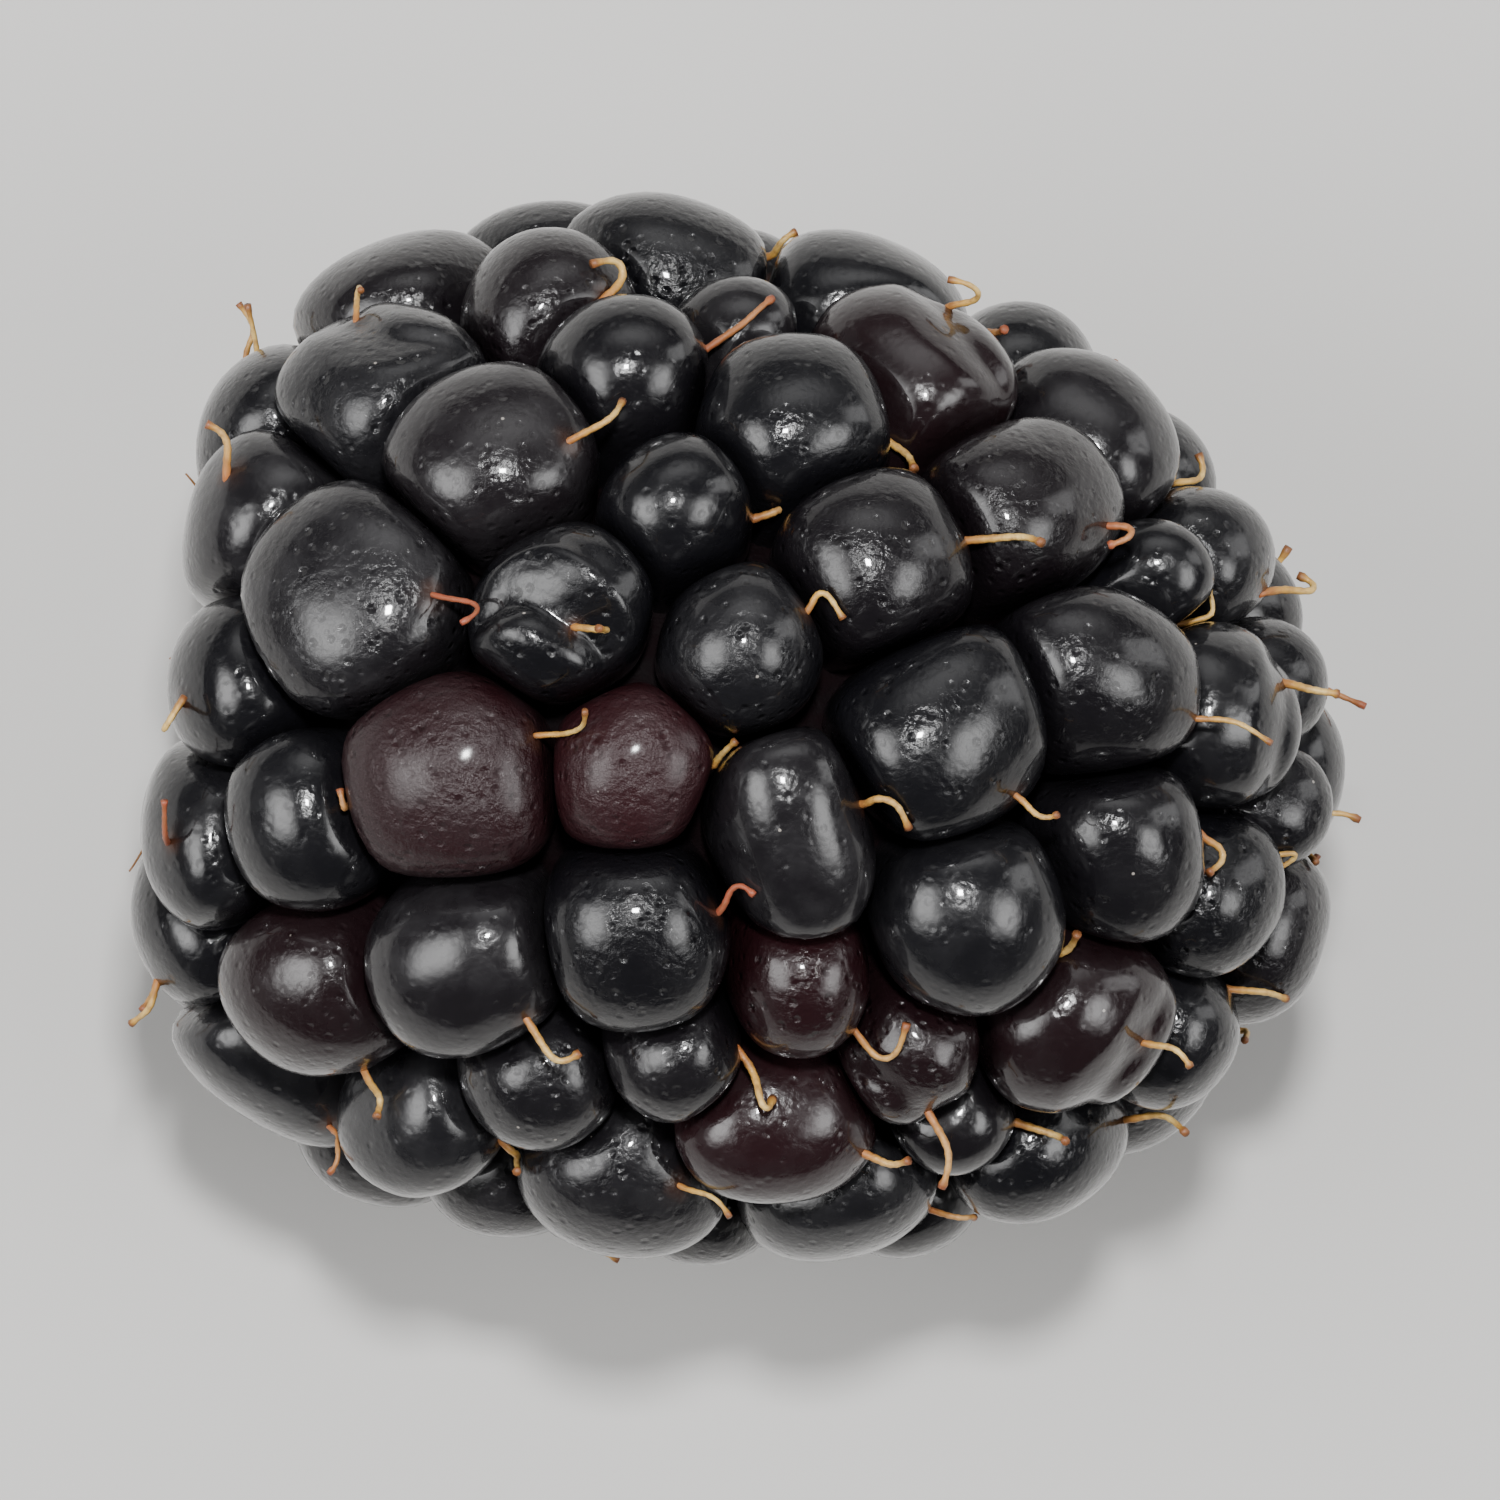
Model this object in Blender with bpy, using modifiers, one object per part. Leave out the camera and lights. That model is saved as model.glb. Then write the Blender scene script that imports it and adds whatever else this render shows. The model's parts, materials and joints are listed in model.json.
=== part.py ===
"""A ripe bramble berry, picked, lying on its side.

The berry is an aggregate fruit. About a hundred round drupelets crowd over an egg-shaped bed, and the pale
receptacle that they grew on shows as a plug in the middle of the stem end. The long axis lies along X with
the tip towards +X. Z is up, and the origin is on the ground under the middle of the berry. Lengths are in
metres.
"""

import math
import random

import bmesh
import bpy
import numpy as np
from mathutils import Matrix, Vector

# The bed, the rounded surface that the drupelets' centres lie on.
BED_RADIUS = 0.01175
BED_STEM_LENGTH = 0.0134
BED_TIP_LENGTH = 0.0168
BED_SQUARENESS = 2.15

# The drupelets.
DRUPELET_COUNT = 106
DRUPELET_DEPTH = 0.0030
FULLNESS = 1.13
SIZE_SPREAD = 0.17
LEAST_SHARE = 0.66
MOST_SHARE = 1.24
TIP_SHRINK = 0.26
SMALL_ONES_SINK = 0.0022
WIDTH_DRAW = (0.96, 1.06)
SEED = 12

# How the drupelets settle. Each pushes the others within its reach, counted in spacings of an even crowd.
SETTLING_ROUNDS = 240
REACH_IN_SPACINGS = 1.35
STEP_IN_SPACINGS = 0.22
SLOWING = 0.6
NEIGHBOURS = 5
HEXAGON_HEIGHT = math.sqrt(3) / 2
SECOND_RING_LAG = 1.25

# The collar, the ring of longer drupelets that dip to the receptacle like the petals of a daisy.
COLLAR_COUNT = 10
COLLAR_ANGLE_DEG = 33.0
COLLAR_TILT_DEG = 42.0
COLLAR_SINK = 0.0006
COLLAR_LENGTH = 0.0034
COLLAR_DEPTH = 0.0025
COLLAR_SHARE = 0.92
COLLAR_LEAD = 0.0010

# The solid core that the drupelets are rooted in, this far above the bed, with a flat face at the stem end.
CORE_HEIGHT = 0.0006
CORE_FACE_X = -0.0100

# The receptacle's plug, along the berry's axis from its outer face inwards.
PLUG_FACE_X = -0.0106
PLUG_LENGTH = 0.0090
PLUG_RADIUS = 0.0044
RIM_RADIUS = 0.0039
RIM_RISE = 0.0009
RIM_ROUND = 0.0008
DISH_RADIUS = 0.0026
DISH_RISE = 0.0004
WAIST_RADIUS = 0.0035
WAIST_HEIGHT = 0.0054
PLUG_END_RADIUS = 0.0022
PLUG_END_ROUND = 0.0005
SCAR_RADIUS = 0.0009
SCAR_FLOOR_RADIUS = 0.0006
SCAR_DEPTH = 0.0008
SEAT_GAP = 0.0003

# How the berry lies on the ground, which flattens its lowest drupelets by this much.
REST_ROLL_DEG = -18.0
REST_PITCH_DEG = -3.0
REST_FLAT = 0.00045

# How finely the solids are faceted.
DRUPELET_SUBDIVISIONS = 2
CORE_SIDES = 14
CORE_RINGS = 9
PLUG_SIDES = 20
SHARP_ANGLE_DEG = 50.0
MERGE_DISTANCE = 0.00001
GROUND_SIZE = 0.06


def bed_point(polar, turn):
    """The point of the bed at a polar angle from the stem pole and a turn about the axis."""
    length = BED_STEM_LENGTH if polar < math.pi / 2 else BED_TIP_LENGTH
    point = np.array(
        (
            -length * math.cos(polar),
            BED_RADIUS * math.sin(polar) * math.cos(turn),
            BED_RADIUS * math.sin(polar) * math.sin(turn),
        )
    )
    return onto_bed(point[None, :])[0]


def half_lengths(points):
    """The bed's half length on each point's side of its widest section."""
    return np.where(points[:, 0] < 0, BED_STEM_LENGTH, BED_TIP_LENGTH)


def onto_bed(points):
    """Points moved straight from the berry's middle onto the bed."""
    along = np.abs(points[:, 0]) / half_lengths(points)
    across = np.hypot(points[:, 1], points[:, 2]) / BED_RADIUS
    size = (along**BED_SQUARENESS + across**BED_SQUARENESS) ** (1 / BED_SQUARENESS)
    return points / size[:, None]


def bed_normals(points):
    """The outward direction of the bed at each point."""
    power = BED_SQUARENESS
    across = np.hypot(points[:, 1], points[:, 2])
    along = half_lengths(points)
    slope = np.empty_like(points)
    slope[:, 0] = np.sign(points[:, 0]) * np.abs(points[:, 0]) ** (power - 1) / along**power
    ring = across ** (power - 2) / BED_RADIUS**power
    slope[:, 1] = points[:, 1] * ring
    slope[:, 2] = points[:, 2] * ring
    return slope / np.linalg.norm(slope, axis=1)[:, None]


def shares_at(shares, centres):
    """The drupelets' shares of the common size, less towards the tip."""
    nearness = np.clip(centres[:, 0] / BED_TIP_LENGTH, 0, 1)
    return shares * (1 - TIP_SHRINK * nearness**2)


def first_centres():
    """The drupelets' centres before they settle: a collar round the stem end, then a spiral to the tip."""
    collar_polar = math.radians(COLLAR_ANGLE_DEG)
    golden = math.pi * (3 - math.sqrt(5))
    centres = [bed_point(collar_polar, 2 * math.pi * i / COLLAR_COUNT) for i in range(COLLAR_COUNT)]
    others = DRUPELET_COUNT - COLLAR_COUNT
    first = math.cos(collar_polar * SECOND_RING_LAG)
    for i in range(others):
        height = first - (first + 1) * (i + 0.5) / others
        centres.append(bed_point(math.acos(height), i * golden))
    return np.array(centres)


def settled_centres(shares):
    """The drupelets' centres, pushed apart until they crowd evenly, each by its size."""
    centres = first_centres()
    collar_x = centres[0, 0]
    area = 4 * math.pi * BED_RADIUS * (BED_STEM_LENGTH + BED_TIP_LENGTH) / 2
    spacing = math.sqrt(area / DRUPELET_COUNT / HEXAGON_HEIGHT)
    for turn in range(SETTLING_ROUNDS):
        local = shares_at(shares, centres)
        reach = REACH_IN_SPACINGS * spacing * (local[:, None] + local[None, :]) / 2
        apart = centres[:, None, :] - centres[None, :, :]
        distance = np.linalg.norm(apart, axis=2) + np.eye(DRUPELET_COUNT)
        push = np.clip(1 - distance / reach, 0, None) ** 1.5
        np.fill_diagonal(push, 0)
        push_sum = (apart / distance[:, :, None] * push[:, :, None]).sum(axis=1)
        step = STEP_IN_SPACINGS * spacing * (1 - SLOWING * turn / SETTLING_ROUNDS)
        centres = onto_bed(centres + push_sum * step)
        centres = kept_off_stem(centres, collar_x)
    return centres


def kept_off_stem(centres, collar_x):
    """The centres with the collar held in its ring and every other one on the tip's side of it."""
    held = centres.copy()
    held[:COLLAR_COUNT, 0] = collar_x
    held[COLLAR_COUNT:, 0] = np.maximum(held[COLLAR_COUNT:, 0], collar_x + COLLAR_LEAD)
    across = np.hypot(held[:, 1], held[:, 2])
    along = np.abs(held[:, 0]) / half_lengths(held)
    wanted = BED_RADIUS * np.clip(1 - along**BED_SQUARENESS, 0, 1) ** (1 / BED_SQUARENESS)
    moved = (held[:, 0] != centres[:, 0]) & (across > 0)
    held[moved, 1:] *= (wanted[moved] / across[moved])[:, None]
    return held


def half_widths(centres, local):
    """Half of each drupelet's width: its share of the way to its nearest neighbours, and a little more."""
    widths = []
    for i, centre in enumerate(centres):
        distance = np.linalg.norm(centres - centre, axis=1)
        nearest = np.argsort(distance)[1 : NEIGHBOURS + 1]
        part = local[i] / (local[i] + local[nearest])
        widths.append(FULLNESS * (distance[nearest] * part).mean())
    return widths


def tilted_to_stem(outward, towards_tip):
    """A collar drupelet's two directions, tilted so that its inner end dips to the receptacle."""
    tilt = math.radians(COLLAR_TILT_DEG)
    return (
        math.cos(tilt) * outward - math.sin(tilt) * towards_tip,
        math.cos(tilt) * towards_tip + math.sin(tilt) * outward,
    )


def drupelets():
    """Each drupelet as its centre, its frame (outward, towards the tip, sideways) and its half sizes."""
    rng = random.Random(SEED)
    drawn = [rng.gauss(1, SIZE_SPREAD) for _ in range(DRUPELET_COUNT)]
    shares = np.clip(drawn, LEAST_SHARE, MOST_SHARE)
    shares[:COLLAR_COUNT] = COLLAR_SHARE
    centres = settled_centres(shares)
    local = shares_at(shares, centres)
    widths = half_widths(centres, local)
    found = []
    for i, outward in enumerate(bed_normals(centres)):
        towards_tip = np.array((1.0, 0, 0)) - outward[0] * outward
        towards_tip /= np.linalg.norm(towards_tip)
        sideways = np.cross(outward, towards_tip)
        sink = SMALL_ONES_SINK * max(0, 1 - local[i])
        sizes = [DRUPELET_DEPTH, widths[i] * rng.uniform(*WIDTH_DRAW), widths[i] * rng.uniform(*WIDTH_DRAW)]
        if i < COLLAR_COUNT:
            outward, towards_tip = tilted_to_stem(outward, towards_tip)
            sink = COLLAR_SINK
            sizes = [COLLAR_DEPTH, COLLAR_LENGTH * rng.uniform(*WIDTH_DRAW), widths[i]]
        found.append((centres[i] - outward * sink, (outward, towards_tip, sideways), sizes))
    return found


def rest_matrix(found, ball):
    """Turns the berry the way it lies, over the origin, its lowest skin a flat's depth below the ground."""
    pitch = Matrix.Rotation(math.radians(REST_PITCH_DEG), 4, "Y")
    turned = pitch @ Matrix.Rotation(math.radians(REST_ROLL_DEG), 4, "X")
    places = [turned @ drupelet_matrix(*drupelet) for drupelet in found]
    skin_points = np.array([place @ vertex.co for place in places for vertex in ball.vertices])
    low = skin_points.min(axis=0)
    high = skin_points.max(axis=0)
    middle = (low + high) / 2
    return Matrix.Translation((-middle[0], -middle[1], -REST_FLAT - low[2])) @ turned


def linked(name, mesh, collection, place=None):
    """A new object in a collection, at a place."""
    obj = bpy.data.objects.new(name, mesh)
    collection.objects.link(obj)
    obj.matrix_world = place or Matrix.Identity(4)
    return obj


def new_collection(name):
    """A new collection in the scene."""
    collection = bpy.data.collections.new(name)
    bpy.context.scene.collection.children.link(collection)
    return collection


def as_new_mesh(bm, name):
    """A mesh with what was built."""
    mesh = bpy.data.meshes.new(name)
    bm.to_mesh(mesh)
    bm.free()
    return mesh


def ball_mesh():
    """A closed ball of radius 1, the same for every drupelet."""
    bm = bmesh.new()
    bmesh.ops.create_icosphere(bm, subdivisions=DRUPELET_SUBDIVISIONS, radius=1)
    return as_new_mesh(bm, "drupelet")


def core_mesh():
    """The solid core that holds the drupelets."""
    bm = bmesh.new()
    bmesh.ops.create_uvsphere(bm, u_segments=CORE_SIDES, v_segments=CORE_RINGS, radius=1)
    for vertex in bm.verts:
        vertex.co = core_point(vertex.co)
    return as_new_mesh(bm, "core")


def core_point(unit):
    """A ball's point moved to the core, which is cut off flat behind the receptacle's face."""
    point = onto_bed(np.array([(unit.z, unit.x, unit.y)]))[0]
    swollen = point * (1 + CORE_HEIGHT / BED_RADIUS)
    return Vector((max(swollen[0], CORE_FACE_X), swollen[1], swollen[2]))


def drupelet_matrix(centre, frame, sizes):
    """Places a ball of radius 1 as one drupelet, its pole outward."""
    outward, towards_tip, sideways = (Vector(axis) for axis in frame)
    columns = (sideways * sizes[2], towards_tip * sizes[1], outward * sizes[0], Vector(centre))
    return Matrix([[column[row] for column in columns] for row in range(3)] + [[0, 0, 0, 1]])


def boolean(obj, operation, other):
    """Adds a Boolean with an object or with a collection."""
    modifier = obj.modifiers.new(operation.title(), "BOOLEAN")
    modifier.operation = operation
    modifier.solver = "EXACT"
    if isinstance(other, bpy.types.Collection):
        modifier.operand_type = "COLLECTION"
        modifier.collection = other
    else:
        modifier.object = other
    return modifier


def as_mesh(obj):
    """The object's mesh as the viewport shows it, in place of its modifiers."""
    evaluated = obj.evaluated_get(bpy.context.evaluated_depsgraph_get())
    mesh = bpy.data.meshes.new_from_object(evaluated)
    obj.modifiers.clear()
    obj.data = mesh


def keep_largest_shell(mesh):
    """Deletes every shell but the one with the most points: sealed hollows, and loose scraps."""
    bm = bmesh.new()
    bm.from_mesh(mesh)
    waiting = set(bm.verts)
    shells = []
    while waiting:
        shell = {waiting.pop()}
        edge_of_search = list(shell)
        while edge_of_search:
            vertex = edge_of_search.pop()
            near = {edge.other_vert(vertex) for edge in vertex.link_edges}
            new = near - shell
            shell |= new
            edge_of_search += new
        waiting -= shell
        shells.append(shell)
    shells.sort(key=len)
    bmesh.ops.delete(bm, geom=[vertex for shell in shells[:-1] for vertex in shell], context="VERTS")
    bm.to_mesh(mesh)
    bm.free()


def plug_profile():
    """The receptacle's outline as radius and height over its inner end: scar, dish, rim, waist and end."""
    face = PLUG_LENGTH
    scar = [(0, face - SCAR_DEPTH), (SCAR_FLOOR_RADIUS, face - SCAR_DEPTH), (SCAR_RADIUS, face)]
    rim = face + RIM_RISE
    dish = [(DISH_RADIUS, face + DISH_RISE), (RIM_RADIUS, rim), (PLUG_RADIUS, rim - RIM_ROUND)]
    taper = [(WAIST_RADIUS, WAIST_HEIGHT), (PLUG_END_RADIUS, PLUG_END_ROUND)]
    return scar + dish + taper + [(PLUG_END_RADIUS - PLUG_END_ROUND, 0), (0, 0)]


def seat_profile():
    """The outline of the hollow that the receptacle sits in, a gap larger all round."""
    rim = PLUG_LENGTH + RIM_RISE
    mouth = [(0, rim + SEAT_GAP), (PLUG_RADIUS, rim + SEAT_GAP), (PLUG_RADIUS + SEAT_GAP, rim - RIM_ROUND)]
    taper = [(WAIST_RADIUS + SEAT_GAP, WAIST_HEIGHT), (PLUG_END_RADIUS + SEAT_GAP, -SEAT_GAP)]
    return mouth + taper + [(0, -SEAT_GAP)]


def turned_solid(name, profile, collection, place):
    """A solid of revolution from a profile of radius and height, by a Screw."""
    mesh = bpy.data.meshes.new(name)
    points = [(radius, 0, height) for radius, height in profile]
    mesh.from_pydata(points, [(i, i + 1) for i in range(len(points) - 1)], [])
    obj = linked(name, mesh, collection, place)
    screw = obj.modifiers.new("Turn", "SCREW")
    screw.steps = screw.render_steps = PLUG_SIDES
    screw.use_merge_vertices = True
    screw.merge_threshold = MERGE_DISTANCE
    screw.use_smooth_shade = True
    return obj


def plug_matrix(rest):
    """Stands the receptacle's profile on its inner end, its face towards the stem."""
    inner_end = Matrix.Translation((PLUG_FACE_X + PLUG_LENGTH, 0, 0))
    return rest @ inner_end @ Matrix.Rotation(math.radians(-90), 4, "Y")


def skin(name, colour, roughness):
    """A plain material of one colour."""
    material = bpy.data.materials.new(name)
    material.use_nodes = True
    shader = material.node_tree.nodes["Principled BSDF"]
    shader.inputs["Base Color"].default_value = (*colour, 1)
    shader.inputs["Roughness"].default_value = roughness
    shader.inputs["Metallic"].default_value = 0
    return material


def cutter(obj):
    """Marks a helper that only cuts."""
    obj.hide_render = True
    obj.display_type = "WIRE"
    return obj


def ground_cutter(helpers):
    """A block below the ground, which cuts the flat spots that the berry rests on."""
    bm = bmesh.new()
    bmesh.ops.create_cube(bm, size=GROUND_SIZE)
    below = Matrix.Translation((0, 0, -GROUND_SIZE / 2))
    return cutter(linked("ground", as_new_mesh(bm, "ground"), helpers, below))


def make_drupelets(found, ball, rest, berry, helpers):
    """The cluster: every drupelet joined to the core, seated round the receptacle and flat where it rests."""
    crowd = new_collection("crowd")
    for i, drupelet in enumerate(found):
        linked(f"drupelet_{i:03d}", ball, crowd, rest @ drupelet_matrix(*drupelet))
    cluster = linked("drupelets", core_mesh(), berry, rest)
    boolean(cluster, "UNION", crowd)
    as_mesh(cluster)
    for obj in list(crowd.objects):
        bpy.data.objects.remove(obj)
    bpy.data.collections.remove(crowd)
    seat = cutter(turned_solid("seat", seat_profile(), helpers, plug_matrix(rest)))
    boolean(cluster, "DIFFERENCE", seat)
    boolean(cluster, "DIFFERENCE", ground_cutter(helpers))
    as_mesh(cluster)
    keep_largest_shell(cluster.data)
    cluster.data.shade_smooth()
    cluster.data.set_sharp_from_angle(angle=math.radians(SHARP_ANGLE_DEG))
    cluster.data.materials.append(skin("drupelet_skin", (0.012, 0.010, 0.014), 0.25))
    return cluster


def make_receptacle(rest, berry):
    """The pale plug that the drupelets grew on."""
    plug = turned_solid("receptacle", plug_profile(), berry, plug_matrix(rest))
    plug.data.materials.append(skin("receptacle_pith", (0.52, 0.44, 0.13), 0.7))
    return plug


def main():
    """Builds the berry."""
    for obj in list(bpy.data.objects):
        bpy.data.objects.remove(obj)
    berry = new_collection("bramble_berry")
    helpers = new_collection("helpers")
    found = drupelets()
    ball = ball_mesh()
    rest = rest_matrix(found, ball)
    make_drupelets(found, ball, rest, berry, helpers)
    make_receptacle(rest, berry)


main()
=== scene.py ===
"""The looks of a ripe bramble berry that lies on its side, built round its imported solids.

The berry's own frame has the tip at +X and the stem end at -X, with the middle of the bed at the origin.
The drupelets settle there by the same rule as the solids', and one matrix then lays them on the ground.
Lengths are in metres unless a name says otherwise.
"""

import json
import logging
import math
import random
from dataclasses import dataclass
from enum import Enum

import bpy
import numpy as np
from mathutils import Matrix, Quaternion, Vector, noise
from mathutils.kdtree import KDTree

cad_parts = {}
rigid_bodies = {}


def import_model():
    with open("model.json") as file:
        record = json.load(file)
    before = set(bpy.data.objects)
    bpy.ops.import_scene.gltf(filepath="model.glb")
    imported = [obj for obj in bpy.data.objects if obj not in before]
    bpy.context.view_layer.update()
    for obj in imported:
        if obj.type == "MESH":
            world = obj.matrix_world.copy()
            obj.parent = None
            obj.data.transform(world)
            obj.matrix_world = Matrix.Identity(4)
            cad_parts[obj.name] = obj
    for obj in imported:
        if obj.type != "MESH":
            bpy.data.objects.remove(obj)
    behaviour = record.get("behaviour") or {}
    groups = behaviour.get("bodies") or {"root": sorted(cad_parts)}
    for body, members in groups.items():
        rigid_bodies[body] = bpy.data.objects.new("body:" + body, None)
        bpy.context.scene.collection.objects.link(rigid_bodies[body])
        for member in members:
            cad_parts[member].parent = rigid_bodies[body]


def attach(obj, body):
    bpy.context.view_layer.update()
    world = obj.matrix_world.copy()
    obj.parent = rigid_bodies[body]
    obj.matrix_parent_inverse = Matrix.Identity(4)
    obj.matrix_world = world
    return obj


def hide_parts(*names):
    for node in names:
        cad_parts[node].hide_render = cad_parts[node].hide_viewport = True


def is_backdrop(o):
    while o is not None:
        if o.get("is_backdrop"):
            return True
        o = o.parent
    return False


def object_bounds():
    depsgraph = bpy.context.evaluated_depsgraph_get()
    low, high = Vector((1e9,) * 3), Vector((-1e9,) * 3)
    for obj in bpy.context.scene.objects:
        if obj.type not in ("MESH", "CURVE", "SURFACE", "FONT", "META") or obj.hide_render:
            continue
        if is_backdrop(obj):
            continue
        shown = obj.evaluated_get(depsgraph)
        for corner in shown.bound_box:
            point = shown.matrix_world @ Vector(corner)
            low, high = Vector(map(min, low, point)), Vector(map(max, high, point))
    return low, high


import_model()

BODY = "root"
NOISE_SPAN = (0.2, 0.8)
WELD = 0.000001

Colour = tuple[float, float, float]
Pair = tuple[float, float]
Socket = bpy.types.NodeSocket

log = logging.getLogger("bramble_berry")


class Node(Enum):
    """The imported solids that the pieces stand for."""

    DRUPELETS = "drupelets"
    RECEPTACLE = "receptacle"


class Slot(Enum):
    """The record's material slots."""

    SKIN = "drupelet_skin"
    PITH = "receptacle_pith"


class Ripeness(Enum):
    """How much red is left in a drupelet's skin."""

    BLACK = 0.0
    PLUM = 0.45
    RED_BLACK = 0.65
    DULL_RED = 0.8
    MAROON = 1.0


def unit(vector: np.ndarray) -> np.ndarray:
    """Scales a vector to length 1."""
    return vector / np.linalg.norm(vector)


def turned(vector: np.ndarray, axis: np.ndarray, angle: float) -> np.ndarray:
    """Turns a vector about an axis.

    Args:
        vector: The vector to turn.
        axis: The direction to turn about.
        angle: How far, in radians.

    Returns:
        The turned vector.
    """
    return np.array(Quaternion(Vector(axis), angle) @ Vector(vector))


def smooth_step(low: float, high: float, value: np.ndarray) -> np.ndarray:
    """Rises smoothly from 0 at low to 1 at high.

    Args:
        low: Where the rise starts.
        high: Where the rise ends.
        value: The numbers to look up.

    Returns:
        The share of the rise at each number.
    """
    share = np.clip((value - low) / (high - low), 0, 1)
    return share * share * (3 - 2 * share)


def bell(off: np.ndarray, width: np.ndarray | float) -> np.ndarray:
    """Falls off smoothly on both sides of 0.

    Args:
        off: How far off the middle.
        width: How far off it has fallen to about a third.

    Returns:
        1 in the middle, less to each side.
    """
    return np.exp(-((off / width) ** 2))


@dataclass(frozen=True)
class Bed:
    """The rounded surface that the drupelets' centres lie on, in the berry's own frame."""

    radius: float = 0.01175
    stem_length: float = 0.0134
    tip_length: float = 0.0168
    squareness: float = 2.15

    def half_lengths(self, points: np.ndarray) -> np.ndarray:
        """Gives the bed's half length on each point's side of its widest section."""
        return np.where(points[:, 0] < 0, self.stem_length, self.tip_length)

    def onto(self, points: np.ndarray) -> np.ndarray:
        """Moves points straight from the berry's middle onto the bed.

        Args:
            points: The points, anywhere but at the middle.

        Returns:
            The points on the bed.
        """
        along = np.abs(points[:, 0]) / self.half_lengths(points)
        across = np.hypot(points[:, 1], points[:, 2]) / self.radius
        size = (along**self.squareness + across**self.squareness) ** (1 / self.squareness)
        return points / size[:, None]

    def point(self, polar: float, turn: float) -> np.ndarray:
        """Gives the bed's point at a polar angle from the stem pole and a turn about the axis.

        Args:
            polar: The angle from the stem pole, in radians.
            turn: The turn about the berry's axis, in radians.

        Returns:
            The point.
        """
        length = self.stem_length if polar < math.pi / 2 else self.tip_length
        ring = self.radius * math.sin(polar)
        point = np.array((-length * math.cos(polar), ring * math.cos(turn), ring * math.sin(turn)))
        return self.onto(point[None, :])[0]

    def normals(self, points: np.ndarray) -> np.ndarray:
        """Gives the bed's outward direction at each point.

        Args:
            points: Points on the bed.

        Returns:
            One unit direction for each point.
        """
        power = self.squareness
        across = np.hypot(points[:, 1], points[:, 2])
        slope = np.empty_like(points)
        along = self.half_lengths(points)
        slope[:, 0] = np.sign(points[:, 0]) * np.abs(points[:, 0]) ** (power - 1) / along**power
        ring = across ** (power - 2) / self.radius**power
        slope[:, 1] = points[:, 1] * ring
        slope[:, 2] = points[:, 2] * ring
        return slope / np.linalg.norm(slope, axis=1)[:, None]


@dataclass
class Drupelet:
    """One drupelet: its place, its frame and its half sizes outward, along and across."""

    centre: np.ndarray
    outward: np.ndarray
    towards_tip: np.ndarray
    half_sizes: np.ndarray
    in_collar: bool

    @property
    def sideways(self) -> np.ndarray:
        """The third direction of the drupelet's frame."""
        return np.cross(self.outward, self.towards_tip)

    @property
    def frame(self) -> np.ndarray:
        """The outward, tip and sideways directions as columns."""
        return np.stack((self.outward, self.towards_tip, self.sideways), axis=1)


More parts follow.
